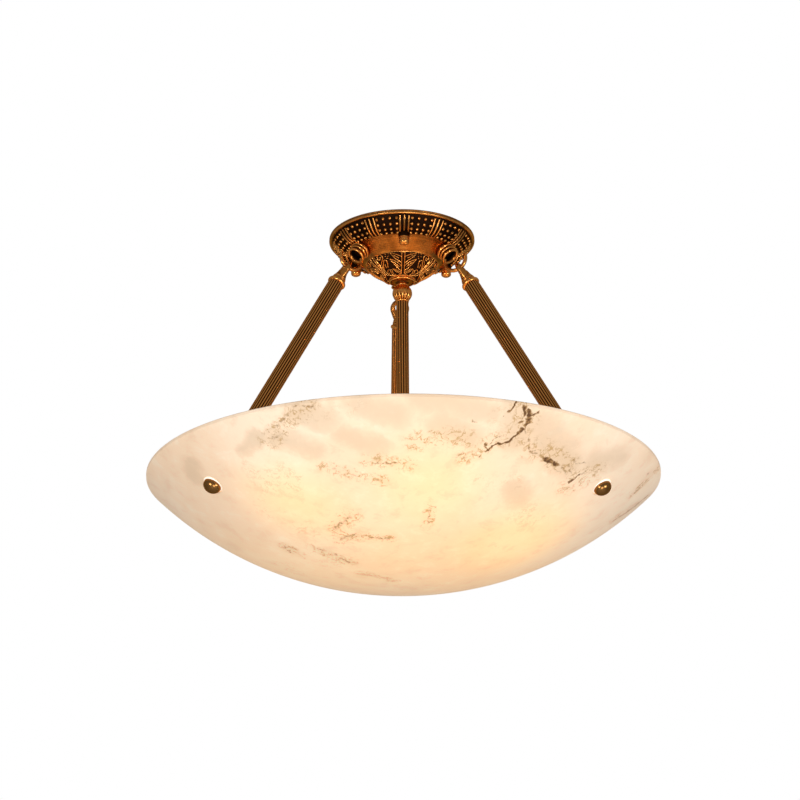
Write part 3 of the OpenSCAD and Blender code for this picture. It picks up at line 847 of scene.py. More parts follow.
class Library:
    """All finishes of the light, each built once."""

    runs = (
        *vein_runs(VeinTone.DARK,
                   (293.4, 250, 293.8, 243, 3.4), (294.6, 249, 295.2, 235, 3.0), (293.8, 243, 292.9, 234, 2.6),
                   (296.3, 249, 294.4, 242, 1.9), (291.6, 250, 289.3, 240, 1.6), (295.1, 235, 292.6, 222, 2.1),
                   (292.6, 222, 288.6, 212, 1.9), (288.6, 212, 285.2, 201, 2.4), (286.2, 204, 284.2, 206, 1.8),
                   (288.6, 212, 287.6, 219, 2.0), (304.3, 213, 310.5, 209, 2.8), (317.1, 199, 318.6, 206, 2.8),
                   (96.0, 240, 104.0, 205, 3.0)),
        *vein_runs(VeinTone.OCHRE,
                   (289.3, 240, 288.2, 222, 1.4), (287.6, 219, 289.0, 229, 1.4), (292.0, 236, 289.4, 226, 1.6),
                   (290.9, 229, 287.2, 208, 1.5), (284.2, 206, 281.2, 199, 1.8), (286.0, 230, 283.0, 236, 1.6),
                   (295.3, 234, 298.2, 219, 1.7), (298.2, 219, 304.3, 213, 2.2), (310.5, 209, 312.5, 205, 2.0),
                   (318.6, 206, 319.8, 213, 2.2), (312.0, 212, 317.1, 203, 1.9), (309.0, 216, 318.0, 219, 1.7),
                   (344.7, 250, 343.4, 238, 2.6), (346.6, 233, 347.4, 226, 2.2), (1.0, 238, 358.5, 208, 6.0),
                   (276.7, 149, 278.2, 124, 1.8), (276.7, 149, 279.5, 148, 1.6), (280.1, 201, 281.8, 210, 2.0),
                   (250.1, 146, 245.7, 138, 2.6), (245.7, 138, 238.2, 124, 3.2), (237.2, 112, 246.0, 116, 2.4),
                   (251.7, 107, 260.6, 106, 2.6), (218.4, 105, 223.4, 93, 3.0), (223.4, 93, 223.5, 72, 2.4),
                   (204.9, 124, 201.8, 114, 2.2), (213.8, 48, 230.0, 16, 1.8), (260.8, 198, 268.0, 196, 2.4),
                   (249.4, 193, 260.0, 181, 1.8), (239.8, 237, 243.8, 244, 2.2), (237.2, 229, 239.8, 231, 3.4),
                   (244.7, 249, 248.5, 247, 2.2), (104.0, 205, 118.0, 170, 2.2), (40.0, 244, 52.0, 214, 2.4),
                   (146.0, 246, 152.0, 226, 2.6)),
        *vein_runs(VeinTone.HAZE,
                   (246.0, 244, 251.0, 238, 26), (258.5, 246, 266.5, 236, 24), (298.0, 236, 313.0, 214, 32),
                   (318.0, 222, 326.0, 234, 26), (291.0, 249, 294.0, 226, 30), (302.0, 180, 306.0, 172, 24),
                   (270.0, 250, 286.0, 243, 22), (254.0, 222, 262.0, 212, 20), (120.0, 230, 132.0, 214, 22),
                   (276.0, 232, 284.0, 222, 22), (238.0, 228, 246.0, 214, 20), (228.0, 226, 233.0, 232, 16),
                   (206.0, 222, 210.0, 228, 20)),
        *vein_runs(VeinTone.SQUIGGLE,
                   (318.0, 198, 322.0, 214, 22), (300.0, 220, 312.0, 212, 20), (294.0, 250, 294.0, 226, 20),
                   (290.0, 220, 283.0, 203, 15), (282.0, 222, 270.0, 216, 16), (248.0, 144, 239.0, 125, 17),
                   (236.0, 112, 248.0, 115, 15), (250.0, 108, 261.0, 106, 11), (204.0, 124, 203.0, 112, 14),
                   (216.0, 108, 224.0, 74, 14), (213.0, 50, 236.0, 14, 8), (277.0, 152, 278.0, 122, 10),
                   (259.0, 200, 269.0, 195, 12), (247.0, 196, 261.0, 180, 12), (236.0, 228, 248.0, 248, 15),
                   (346.0, 248, 347.0, 224, 14), (2.0, 238, 357.0, 206, 16)),
    )
    # Painted glow spots on the bowl: angle, radius, size and strength of each warm pool of light.
    painted_glow_spots = ((230.5, 172, 85, 0.18), (274.8, 180, 80, 0.13), (327.3, 131, 95, 0.20), (276.0, 70, 240, 0.23),
             (154.0, 150, 170, 0.15), (34.0, 150, 170, 0.15))

    def __init__(self, plan: Plan) -> None:
        """Build the shared groups and every finish.

        Args:
            plan: the shared sizes.
        """
        self.grain = cast_grain_group()
        self.aged = aged_metal_group(self.grain)
        self.cast_brass = self.brass("cast_antique_brass")
        self.canopy_brass = self.brass("turned_canopy_brass", bump=0.16, turning=0.45, middle=(0.46, 0.175, 0.038))
        self.smooth_brass = self.brass("smooth_antique_brass", reach=3.0, bump=0.06, middle=(0.46, 0.175, 0.036))
        self.dark_brass = self.brass("dark_nut_brass", reach=3.0, bump=0.05, middle=(0.17, 0.078, 0.024),
                                     bright=(0.42, 0.21, 0.065))
        self.fluted_brass = self.brass("fluted_antique_brass", reach=1.2, grain_scale=700, bump=0.03,
                                       middle=(0.60, 0.21, 0.040), bright=(1.0, 0.49, 0.14))
        self.zinc = self.plain("zinc_plated_steel", (0.66, 0.66, 0.64), (0.42, 0.43, 0.44), (0.28, 0.45), metal=1.0)
        self.contact_brass = self.plain("contact_brass", (0.78, 0.58, 0.24), (0.55, 0.38, 0.14), (0.25, 0.4), metal=1.0)
        self.ceramic = self.plain("white_glazed_ceramic", (0.86, 0.85, 0.80), (0.78, 0.76, 0.70), (0.16, 0.28),
                                  coat=0.4)
        self.plastic = self.plain("matt_white_plastic", (0.82, 0.81, 0.76), (0.74, 0.73, 0.68), (0.45, 0.6))
        self.cap_metal = self.plain("bulb_cap_metal", (0.74, 0.74, 0.72), (0.55, 0.55, 0.54), (0.22, 0.38), metal=1.0)
        self.rubber = self.plain("black_rubber", (0.035, 0.034, 0.033), (0.02, 0.02, 0.02), (0.6, 0.8))
        # The washers' milky colour with a painted glow, as though light passed through them.
        self.milky_painted_glow = self.plain("milky_washer_plastic", (0.95, 0.90, 0.82), (0.86, 0.78, 0.68), (0.3, 0.45),
                                glow=(1.0, 0.90, 0.76), glow_strength=0.55)
        self.bulb = self.plain("lit_frosted_glass", (0.98, 0.96, 0.90), (0.93, 0.90, 0.82), (0.5, 0.65), bump=0.03,
                               glow=(1.0, 0.82, 0.58), glow_strength=3.0)
        self.wires = {lead: self.plain(name, light, deep, (0.4, 0.55)) for lead, name, light, deep in (
            ("live_lead", "brown_insulation", (0.20, 0.09, 0.04), (0.14, 0.06, 0.03)),
            ("neutral_lead", "blue_insulation", (0.06, 0.16, 0.42), (0.04, 0.11, 0.32)),
            ("earth_lead", "green_insulation", (0.10, 0.34, 0.08), (0.30, 0.42, 0.05)))}
        self.floor = self.plain("pale_floor", (0.82, 0.81, 0.79), (0.79, 0.78, 0.76), (0.7, 0.8), grain_scale=40)
        self.alabaster = LitAlabaster("lit_alabaster", stone_group(), vein_group(), plan, self.runs, self.painted_glow_spots).build()

    def brass(self, name: str, **options: object) -> Material:
        """An antique brass with the shared groups."""
        return AgedBrass(name, self.grain, self.aged, **options).build()

    def plain(self, name: str, light: Colour, deep: Colour, rough: Point,
              **options: object) -> Material:
        """A plain finish with the shared grain."""
        return Plain(name, self.grain, light, deep, rough, **options).build()


@dataclass
class RuleTree:
    """A Geometry Nodes tree whose named inputs make what repeats."""

    name: str
    inputs: tuple[tuple[str, str, object], ...]
    write: Callable[[Pen, Sockets], Socket]
    tree: Tree = field(init=False)

    def __post_init__(self) -> None:
        """Build the tree."""
        self.tree = bpy.data.node_groups.new(self.name, "GeometryNodeTree")
        face = self.tree.interface
        for label, kind, start in (("Geometry", "Geometry", None), *self.inputs):
            socket = face.new_socket(label, in_out="INPUT", socket_type="NodeSocket" + kind)
            if start is not None:
                socket.default_value = start
        face.new_socket("Geometry", in_out="OUTPUT", socket_type="NodeSocketGeometry")
        pen = Pen(self.tree)
        given, out = pen.add("NodeGroupInput"), pen.add("NodeGroupOutput")
        made = pen.one("GeometryNodeRealizeInstances", {0: self.write(pen, given.outputs)})
        pen.feed(out, {0: pen.one("GeometryNodeSetMaterial", {"Geometry": made, "Material": given.outputs["Finish"]})})

    def run(self, base: Mesh, values: dict[str, object]) -> Mesh:
        """Apply the tree to a mesh.

        Args:
            base: the mesh that the tree starts from.
            values: values for its named inputs.

        Returns:
            The resulting plain mesh.
        """
        holder = bpy.data.objects.new(self.name + "_holder", base)
        bpy.context.scene.collection.objects.link(holder)
        modifier = holder.modifiers.new(self.name, "NODES")
        modifier.node_group = self.tree
        keys = {item.name: item.identifier for item in self.tree.interface.items_tree
                if item.item_type == "SOCKET" and item.in_out == "INPUT"}
        for label, value in values.items():
            modifier[keys[label]] = value
        holder.update_tag()
        graph = bpy.context.evaluated_depsgraph_get()
        mesh = bpy.data.meshes.new_from_object(holder.evaluated_get(graph))
        holder.modifiers.clear()
        bpy.data.objects.remove(holder)
        return mesh


def both(pen: Pen, first: Socket, second: Socket) -> Socket:
    """Two geometries joined.

    Args:
        pen: the tree's pen.
        first: one geometry.
        second: the other.

    Returns:
        The joined geometry.
    """
    joined = pen.add("GeometryNodeJoinGeometry")
    for part in (first, second):
        pen.tree.links.new(part, joined.inputs[0])
    return joined.outputs[0]


def worn_by(pen: Pen, geometry: Socket, value: object) -> Socket:
    """A geometry with its worn values stored."""
    return pen.one("GeometryNodeStoreNamedAttribute", {"Geometry": geometry, "Name": "worn", "Value": value},
                   data_type="FLOAT", domain="POINT")


def swept(pen: Pen, line: Socket, ring: Socket) -> Socket:
    """A ring swept along a line, with closed ends."""
    return pen.one("GeometryNodeCurveToMesh", {"Curve": line, "Profile Curve": ring, "Fill Caps": True})


def straight(pen: Pen, end: object, count: int) -> Socket:
    """A straight line from the origin, cut into points."""
    line = pen.one("GeometryNodeCurvePrimitiveLine", {"End": end})
    return pen.one("GeometryNodeResampleCurve", {"Curve": line, "Count": count})


def fluted_bar_tree() -> RuleTree:
    """Tree for a bar with round ridges and sharp grooves, from z = 0 to its length.

    Returns:
        The tree.
    """
    def write(pen: Pen, pick: Sockets) -> Socket:
        """Write the nodes: a fluted ring swept along a line.

        Args:
            pen: the tree's pen.
            pick: its inputs.

        Returns:
            The bar.
        """
        sides = pen.times(pick["Flutes"], 10.0)
        ring = pen.one("GeometryNodeCurvePrimitiveCircle", {"Resolution": sides, "Radius": pick["Radius"]})
        at = pen.one("GeometryNodeInputPosition")
        x, y, _ = pen.add("ShaderNodeSeparateXYZ", {0: at}).outputs
        turn = pen.times(pen.calc("ARCTAN2", y, x), pen.times(pick["Flutes"], 0.5))
        wave = pen.calc("ABSOLUTE", pen.calc("COSINE", turn))
        ridge = pen.calc("POWER", wave, 0.75)
        loss = pen.times(pen.minus(1.0, ridge), pen.calc("DIVIDE", pick["Depth"], pick["Radius"]))
        moved = pen.grown(at, pen.minus(1.0, loss))
        ring = pen.one("GeometryNodeSetPosition", {"Geometry": ring, "Position": moved})
        ring = worn_by(pen, ring, pen.calc("POWER", wave, 2.6))
        return swept(pen, straight(pen, pen.joined(z=pick["Length"]), 9), ring)

    return RuleTree("FlutedBar", (("Radius", "Float", 8.0), ("Flutes", "Int", 20), ("Depth", "Float", 0.9),
                                  ("Length", "Float", 100.0), ("Finish", "Material", None)), write)


def thread_tree() -> RuleTree:
    """Tree for a rolled screw thread: a round ridge on a spiral.

    Returns:
        The tree.
    """
    def write(pen: Pen, pick: Sockets) -> Socket:
        """Write the nodes: a ring swept along a spiral, joined with the plain cap.

        Args:
            pen: the tree's pen.
            pick: its inputs.

        Returns:
            The cap with its thread.
        """
        coil = pen.one("GeometryNodeCurveSpiral", {
            "Resolution": 36, "Rotations": pick["Turns"], "Start Radius": pick["Radius"], "End Radius": pick["Radius"],
            "Height": pick["Height"]})
        coil = pen.one("GeometryNodeSetPosition", {"Geometry": coil, "Offset": pen.joined(z=pick["Start"])})
        ring = pen.one("GeometryNodeCurvePrimitiveCircle", {"Resolution": 10, "Radius": pick["Ridge"]})
        return both(pen, swept(pen, coil, ring), pick["Geometry"])

    return RuleTree("RolledThread", (
        ("Turns", "Float", 4.5), ("Radius", "Float", 11.9), ("Height", "Float", 16.0), ("Start", "Float", 6.0),
        ("Ridge", "Float", 1.1), ("Finish", "Material", None)), write)


def pearl_tree() -> RuleTree:
    """Tree for the canopy's flare: groups of reeds, and rows of pearls between them.

    Returns:
        The tree.
    """
    def flare(pen: Pen, pick: Sockets, share: Socket,
              proud: float) -> Socket:
        """A point of the flare in the plane y = 0.

        Args:
            pen: the tree's pen.
            pick: the tree's inputs.
            share: how far along the flare the point is.
            proud: how far below the flare it stands.

        Returns:
            The point's socket.
        """
        bend = pen.calc("SINE", pen.times(pen.calc("POWER", share, 0.9), math.pi / 2))
        out, down = (pen.calc("MULTIPLY_ADD", pen.minus(pick["Inner " + word], pick["Outer " + word]), part,
                              pick["Outer " + word]) for word, part in (("Radius", share), ("Depth", bend)))
        return pen.joined(out, z=pen.times(pen.calc("ADD", down, proud), -1.0))

    def whole(pen: Pen, value: object, by: object) -> Socket:
        """How many times a count goes into an index."""
        return pen.calc("FLOOR", pen.calc("DIVIDE", pen.calc("ADD", value, 0.01), by))

    def pearls(pen: Pen, pick: Sockets, index: Socket,
               sector: Socket) -> Socket:
        """Blocks of pearls between the reeds.

        Args:
            pen: the tree's pen.
            pick: the tree's inputs.
            index: the index of each point.
            sector: the angle of one group.

        Returns:
            The pearls' instances.
        """
        rest = whole(pen, index, pick["Columns"])
        row, group = pen.calc("MODULO", rest, pick["Rows"]), whole(pen, rest, pick["Rows"])
        middle = pen.times(pen.minus(pick["Columns"], 1.0), 0.5)
        offset = pen.times(pen.minus(pen.calc("MODULO", index, pick["Columns"]), middle), pick["Column Pitch"])
        angle = pen.calc("MULTIPLY_ADD", pen.calc("ADD", group, 0.5), sector, offset)
        fall = pen.calc("MULTIPLY_ADD", pen.times(row, row), 0.22, pen.times(row, 3.55))
        radius = pen.minus(pick["First Row"], fall)
        share = pen.calc("DIVIDE", pen.minus(pick["Outer Radius"], radius),
                         pen.minus(pick["Outer Radius"], pick["Inner Radius"]))
        spot = pen.one("ShaderNodeVectorRotate", {"Vector": flare(pen, pick, share, 0.6), "Angle": angle},
                       rotation_type="Z_AXIS")
        total = pen.times(pen.times(pick["Groups"], pick["Rows"]), pick["Columns"])
        dots = pen.one("GeometryNodePoints", {"Count": total, "Position": spot})
        ball = pen.one("GeometryNodeMeshUVSphere", {"Segments": 10, "Rings": 6, "Radius": pick["Pearl Radius"]})
        return pen.one("GeometryNodeInstanceOnPoints", {"Points": dots, "Instance": ball})

    def reeds(pen: Pen, pick: Sockets, index: Socket,
              sector: Socket) -> Socket:
        """Bunches of three reeds that run down the flare.

        Args:
            pen: the tree's pen.
            pick: the tree's inputs.
            index: the index of each point.
            sector: the angle of one group.

        Returns:
            The reeds' instances.
        """
        along = pen.calc("MULTIPLY_ADD", pen.add("GeometryNodeSplineParameter").outputs["Factor"], 0.93, 0.035)
        line = pen.one("GeometryNodeSetPosition", {"Geometry": straight(pen, (1.0, 0.0, 0.0), 14),
                                                   "Position": flare(pen, pick, along, 0.15)})
        ring = pen.one("GeometryNodeCurvePrimitiveCircle", {"Resolution": 8, "Radius": pick["Reed Radius"]})
        which = pen.minus(pen.calc("MODULO", index, 3.0), 1.0)
        heading = pen.calc("MULTIPLY_ADD", whole(pen, index, 3.0), sector, pen.times(which, pick["Reed Pitch"]))
        origin = pen.one("GeometryNodePoints", {"Count": pen.times(pick["Groups"], 3.0), "Position": (0, 0, 0)})
        facing = pen.one("FunctionNodeEulerToRotation", {0: pen.joined(z=heading)})
        return pen.one("GeometryNodeInstanceOnPoints", {"Points": origin, "Instance": swept(pen, line, ring),
                                                        "Rotation": facing})

    def write(pen: Pen, pick: Sockets) -> Socket:
        """Write the nodes.

        Args:
            pen: the tree's pen.
            pick: its inputs.

        Returns:
            The casting with its pearls and reeds.
        """
        index = pen.one("GeometryNodeInputIndex")
        sector = pen.calc("DIVIDE", 2 * math.pi, pick["Groups"])
        raised = both(pen, pearls(pen, pick, index, sector), reeds(pen, pick, index, sector))
        raised = pen.one("GeometryNodeRealizeInstances", {0: raised})
        return both(pen, worn_by(pen, raised, 1.0), pick["Geometry"])

    return RuleTree("PearlsAndReeds", (
        ("Groups", "Int", 12), ("Rows", "Int", 4), ("Columns", "Int", 4), ("Column Pitch", "Float", math.radians(5.6)),
        ("Reed Pitch", "Float", math.radians(3.8)), ("First Row", "Float", 69.0), ("Pearl Radius", "Float", 1.5),
        ("Reed Radius", "Float", 0.95), ("Outer Radius", "Float", 70.6), ("Inner Radius", "Float", 54.0),
        ("Outer Depth", "Float", 5.2), ("Inner Depth", "Float", 18.2), ("Finish", "Material", None)), write)


def scaled(mesh: Mesh, place: Matrix | None = None, sharp: float = 38.0) -> Mesh:
    """Move a mesh that was made in millimetres into its place, in metres.

    Args:
        mesh: the mesh.
        place: where it stands, in millimetres.
        sharp: the angle in degrees from which an edge is sharp.

    Returns:
        The same mesh, trued.
    """
    mesh.transform(Matrix.Scale(MM, 4) @ (place or Matrix.Identity(4)))
    return trued(mesh, sharp)


@dataclass
class Canopy:
    """The cast canopy with its rolled rim, reeded and beaded flare, smooth collar, floor and posts."""

    plan: Plan
    wall: float = 2.4
    flare_r: float = 70.6
    flare_d: float = 5.2
    stud_circle_r: float = 53.5
    post_r: float = 5.5
    post_d: float = 22.7
    post_bore: float = 3.0
    pearl_r: float = 1.7

    def flare(self, share: float) -> Point:
        """A point of the flare, from its outer edge at 0 to the collar at 1."""
        plan = self.plan
        depth = self.flare_d + (plan.collar_top_d - self.flare_d) * math.sin(math.pi / 2 * share**0.9)
        return (self.flare_r + (plan.collar_top_r - self.flare_r) * share, -depth)

    def shell(self) -> Draft:
        """The turned casting, before its pearls and reeds.

        Returns:
            The casting's draft.
        """
        plan, w = self.plan, self.wall
        rim = [(70.5, 0), (70.6, -0.9), (72.6, -1.1), *arc((72.9, -2.1), 1.0, 80, -35, 5), (73.45, -3.0),
               *arc((72.6, -4.0), 1.4, 25, -95, 7), (71.0, -5.1)]
        steps = [self.flare(i / 24) for i in range(25)]
        top, foot = (plan.collar_top_r, plan.collar_top_d), (plan.collar_foot_r, plan.collar_foot_d)
        cone = [(top[0] + (foot[0] - top[0]) * i / 10, -top[1] - (foot[1] - top[1]) * i / 10) for i in range(1, 11)]
        floor = [(plan.nipple_bore, -foot[1]), (plan.nipple_bore, -foot[1] + w)]
        inner = [(foot[0] - 0.8, -foot[1] + w)] + [(r - 0.6 * w, z + 0.8 * w) for r, z in reversed(steps[::3])]
        inner.append((self.flare_r - 0.6 * w, 0))
        worn = [0.5] * 2 + [0.4] * 7 + [0.12] + [0.95] * (len(rim) - 11) + [0.3] + [0.08] * len(steps)
        worn += [0.72] * len(cone)
        draft = Draft()
        profile = rim + steps + cone + floor + inner
        draft.lathe(profile, worn=worn + [0.4] * (len(profile) - len(worn)), loop=True, segments=180)
        for stud in Stud:
            place = turned(stud.value) @ shifted(self.stud_circle_r, 0)
            r, b, d = self.post_r, self.post_bore, self.post_d
            # The posts get a low worn value of 0.18, so they render dark brown.
            draft.lathe([(b, -9), (r, -9), (r, -d + 0.4), (r - 0.4, -d), (b, -d)], place, 0.18, loop=True, segments=48)
        return draft

    def build(self, library: Library, trees: dict[str, RuleTree]) -> None:
        """Build the casting.

        Args:
            library: the finishes.
            trees: the rule trees.
        """
        mesh = trees["pearls"].run(self.shell().raw("canopy_shell"), {
            "Pearl Radius": self.pearl_r, "Outer Radius": self.flare_r, "Outer Depth": self.flare_d,
            "Finish": library.canopy_brass})
        place_piece("cast_canopy", scaled(mesh), library.canopy_brass, "canopy")


@dataclass
class CanopyNuts:
    """The three long domed nuts under the canopy, each with its washer."""

    canopy: Canopy
    nut_h: float = 7.2
    bore: float = 2.58
    neck_h: float = 4.0
    lift: float = 1.03

    def build(self, library: Library) -> None:
        """Build each nut and washer.

        Args:
            library: the finishes.
        """
        c, b, high = self.canopy, self.bore, self.nut_h - self.neck_h
        for stud in Stud:
            place = turned(stud.value) @ shifted(c.stud_circle_r, -c.post_d) @ FLIP
            washer, nut = Draft(), Draft()
            r = c.post_r - 0.2
            washer.lathe([(b, 0), (r - 0.2, 0), (r, 0.2), (r, 0.8), (r - 0.2, 1.0), (b, 1.0)], place, 0.8,
                         loop=True, segments=48)
            name = "canopy_washer_" + stud.word
            washer.place("turned_" + name, library.smooth_brass, name, name)
            r, place = c.post_r - 0.4, place @ shifted(0, self.lift)
            dome = [(r * math.cos(a), self.neck_h + high * math.sin(a)) for a in np.radians(np.linspace(0, 90, 14))]
            nut.lathe([(b, 0), (r - 0.3, 0), (r, 0.3), (r, 1.9), (r - 0.35, 2.2), (r - 0.35, 2.7), (r, 3.1), *dome],
                      place, 0.85, segments=48)
            nut.lathe([(b, 0), (b, 5.6), (0, 5.6)], place, 0.3, segments=48)
            name = "canopy_nut_" + stud.word
            nut.place("domed_" + name, library.smooth_brass, name, name)


@dataclass(frozen=True)
class Leaflet:
    """A closed leaflet of the cup's relief: it springs from the middle rib and ends in a tip.

    Angles are degrees from the middle of the panel, and heights run from 0 at the cup's top to 1 at its foot.
    """

    root_high: float
    root_low: float
    tip: Point
    bow: float

    def strokes(self) -> list[list[Point]]:
        """The leaflet's upper edge, lower edge and middle vein.

        Returns:
            The three lines.
        """
        (tip_u, tip_v), root_u, root_low_u = self.tip, 3.6, 3.8
        high = ((root_u + tip_u) / 2 + 1.0, (self.root_high + tip_v) / 2 - self.bow * 0.7)
        low = ((root_low_u + tip_u) / 2 + 3.5, (self.root_low + tip_v) / 2 + self.bow)
        upper = bent((root_u, self.root_high), high, self.tip)
        lower = bent((root_low_u, self.root_low), low, self.tip)
        middle = [((a[0] + b[0]) / 2, (a[1] + b[1]) / 2) for a, b in zip(upper, lower)]
        return [upper, lower, middle[2:-3]]


def bent(a: Point, b: Point, c: Point,
         steps: int = 10) -> list[Point]:
    """Points of a simple bend from a to c, drawn towards b."""
    return [tuple((1 - t) ** 2 * p + 2 * t * (1 - t) * q + t * t * s for p, q, s in zip(a, b, c))
            for t in np.linspace(0, 1, steps + 1)]


@dataclass
class AcanthusCup:
    """The cast cup under the collar: three equal panels of leaf relief between double borders."""

    plan: Plan
    top_r: float = 37.4
    foot_r: float = 17.8
    height: float = 16.4
    wall: float = 2.0
    relief: float = 1.5
    columns: int = 720
    rows: int = 112
    end: float = 1.15
    sway: float = 1.1
    leaflets: tuple[Leaflet, ...] = (
        Leaflet(0.24, 0.48, (21.5, 0.05), 0.07), Leaflet(0.62, 0.83, (24.5, 0.31), 0.12),
        Leaflet(0.93, 1.0, (27.0, 0.70), 0.08))
    loops: tuple[tuple[Point, ...], ...] = (
        ((49.5, 0.62), (46.5, 0.42), (38.5, 0.26), (36.5, 0.12), (40.5, 0.03), (45.5, 0.06), (47.0, 0.16),
         (44.0, 0.26)),
        ((49.0, 0.60), (43.5, 0.47), (39.5, 0.37), (36.0, 0.30), (32.5, 0.36), (33.5, 0.48), (37.5, 0.60)),
        ((51.0, 0.86), (44.5, 0.74), (39.0, 0.70), (35.5, 0.78), (36.5, 0.90)),
        ((30.5, 0.96), (31.0, 0.84), (29.5, 0.74)), ((41.5, 0.14), (42.5, 0.24)), ((40.0, 0.48), (41.5, 0.60)),
        ((44.0, 0.84), (45.5, 0.95)))
    border: tuple[Point, ...] = (
        (56.8, 0.03), (56.6, 0.25), (57.0, 0.55), (56.5, 0.80), (52.0, 0.95), (42.0, 1.04), (28.0, 1.10))
    inner_border: tuple[Point, ...] = (
        (53.0, 0.05), (52.4, 0.25), (53.0, 0.5), (52.0, 0.72), (47.0, 0.87), (38.0, 0.96), (26.0, 1.03))
    rib: tuple[Point, ...] = (
        (2.5, 0.05), (2.7, 0.3), (3.2, 0.6), (4.3, 0.86), (6.5, 0.97), (11.0, 1.05), (19.0, 1.12))
    pearls: tuple[Point, ...] = ((30.5, 0.07), (26.5, 0.18), (31.5, 0.17), (25.0, 0.06), (28.5, 0.26))

    def outside(self, v: np.ndarray) -> tuple[np.ndarray, np.ndarray]:
        """Radius and depth of the cup's outside.

        Args:
            v: heights from 0 at the top to 1 at the foot's edge, and on to the disc.

        Returns:
            The radii and the depths.
        """
        turned_in = np.clip(v - 0.86, 0, None)
        radius = self.top_r - (self.top_r - self.foot_r) * v - 18.0 * turned_in**2
        radius = radius + self.sway * np.sin(2 * np.pi * np.minimum(v, 1.0))
        depth = self.height * (0.8 * v + 0.2 * np.sin(np.pi / 2 * v))
        rolled = self.height - 1.916 * ((1.13 - np.minimum(v, 1.13)) / 0.27) ** 2
        return radius, self.plan.collar_foot_d + np.where(v < 0.86, depth, rolled)

    def lines(self) -> list[tuple[Sequence[Point], float]]:
        """Every stroke of half a panel, with its half width.

        Returns:
            The strokes and their half widths.
        """
        strokes = [(self.rib, 0.72), (((0.0, 0.035), (2.6, 0.05)), 0.72)]
        strokes += [(line, 0.58) for leaflet in self.leaflets for line in leaflet.strokes()]
        strokes += [(smooth_line(loop), 0.60) for loop in self.loops]
        return strokes + [(smooth_line(self.border), 0.62), (smooth_line(self.inner_border), 0.42)]

    def heights(self, u: np.ndarray, v: np.ndarray, radius: np.ndarray) -> np.ndarray:
        """Relief height, from 0 on the ground to 1 on the ridges.

        Args:
            u: degrees from the middle of the panel, for every point.
            v: height of every point.
            radius: the cup's radius at every point.

        Returns:
            The heights.
        """
        side = np.abs(u)
        high = np.zeros_like(side)
        slant = math.hypot(self.top_r - self.foot_r, self.height)
        for points, half in self.lines():
            for (u0, v0), (u1, v1) in zip(points, points[1:]):
                near = ((side > min(u0, u1) - 5) & (side < max(u0, u1) + 5)
                        & (v > min(v0, v1) - 0.08) & (v < max(v0, v1) + 0.08))
                if not near.any():
                    continue
                per = np.radians(radius[near])
                px, py = (side[near] - u0) * per, (v[near] - v0) * slant
                dx, dy = (u1 - u0) * per, (v1 - v0) * slant
                share = np.clip((px * dx + py * dy) / np.maximum(dx * dx + dy * dy, 1e-9), 0, 1)
                gap = np.hypot(px - share * dx, py - share * dy)
                high[near] = np.maximum(high[near], np.sqrt(np.clip(1 - (gap / half) ** 2, 0, 1)))
        for u0, v0 in self.pearls:
            gap = np.hypot((side - u0) * np.radians(radius), (v - v0) * slant)
            high = np.maximum(high, 0.95 * np.sqrt(np.clip(1 - (gap / 0.85) ** 2, 0, 1)))
        lip = np.maximum(np.clip((0.045 - v) / 0.02, 0, 1), np.clip((v - 1.13) / 0.015, 0, 1))
        ground = 0.10 + 0.10 * np.sin(side * 1.9 + v * 31) * np.sin(v * 44 - side * 0.7)
        return np.maximum.reduce([high, lip * 0.95, np.clip(ground, 0, 1)])

    def build(self, library: Library) -> None:
        """Build the cup.

        Args:
            library: the finishes.
        """
        v = np.linspace(0, self.end, self.rows)
        radius, depth = self.outside(v)
        angle = np.arange(self.columns) * 360.0 / self.columns
        u = (angle - 270 + 60) % 120 - 60
        grid_u, grid_v = np.meshgrid(u, v)
        high = self.heights(grid_u, grid_v, np.broadcast_to(radius[:, None], grid_u.shape))
        across, down = np.gradient(radius), np.gradient(depth)
        size = np.hypot(across, down)
        sink = (1 - high) * self.relief
        r = radius[:, None] - sink * (down / size)[:, None]
        z = -depth[:, None] - sink * (across / size)[:, None]
        turn = np.radians(angle)
        rows = np.stack([r * np.cos(turn), r * np.sin(turn), np.broadcast_to(z, r.shape)], -1)
        foot_d, bore = float(depth[-1]), self.plan.nipple_bore
        inside = [(bore, -foot_d), (bore, -foot_d + self.wall)]
        inside += [(float(radius[i]) - 3.4, -float(depth[i]) + 1.6) for i in (90, 70, 50, 30, 10)]
        inside += [(self.top_r - 3.6, -self.plan.collar_foot_d)]
        ends = np.array([[(a * math.cos(t), a * math.sin(t), b) for t in turn] for a, b in inside])
        worn = np.concatenate([high * 0.97 + 0.03, np.full((len(inside), self.columns), 0.3)])
        draft = Draft()
        draft.grid(np.concatenate([rows, ends]), worn, loop=True)
        draft.place("relief_cup", library.cast_brass, "acanthus_cup", sharp=60)


def smooth_line(points: Sequence[Point], steps: int = 5) -> list[Point]:
    """A smooth line through points.

    Args:
        points: the points in order.
        steps: how many steps lie between two of them.

    Returns:
        The line's points.
    """
    p = [np.array(q, float) for q in (points[0], *points, points[-1])]
    line = []
    for a, b, c, d in zip(p, p[1:], p[2:], p[3:]):
        for t in np.arange(steps) / steps:
            square, cube = (2 * a - 5 * b + 4 * c - d) * t * t, (3 * b - a - 3 * c + d) * t**3
            line.append(tuple(0.5 * (2 * b + (c - a) * t + square + cube)))
    return [*line, tuple(p[-1])]


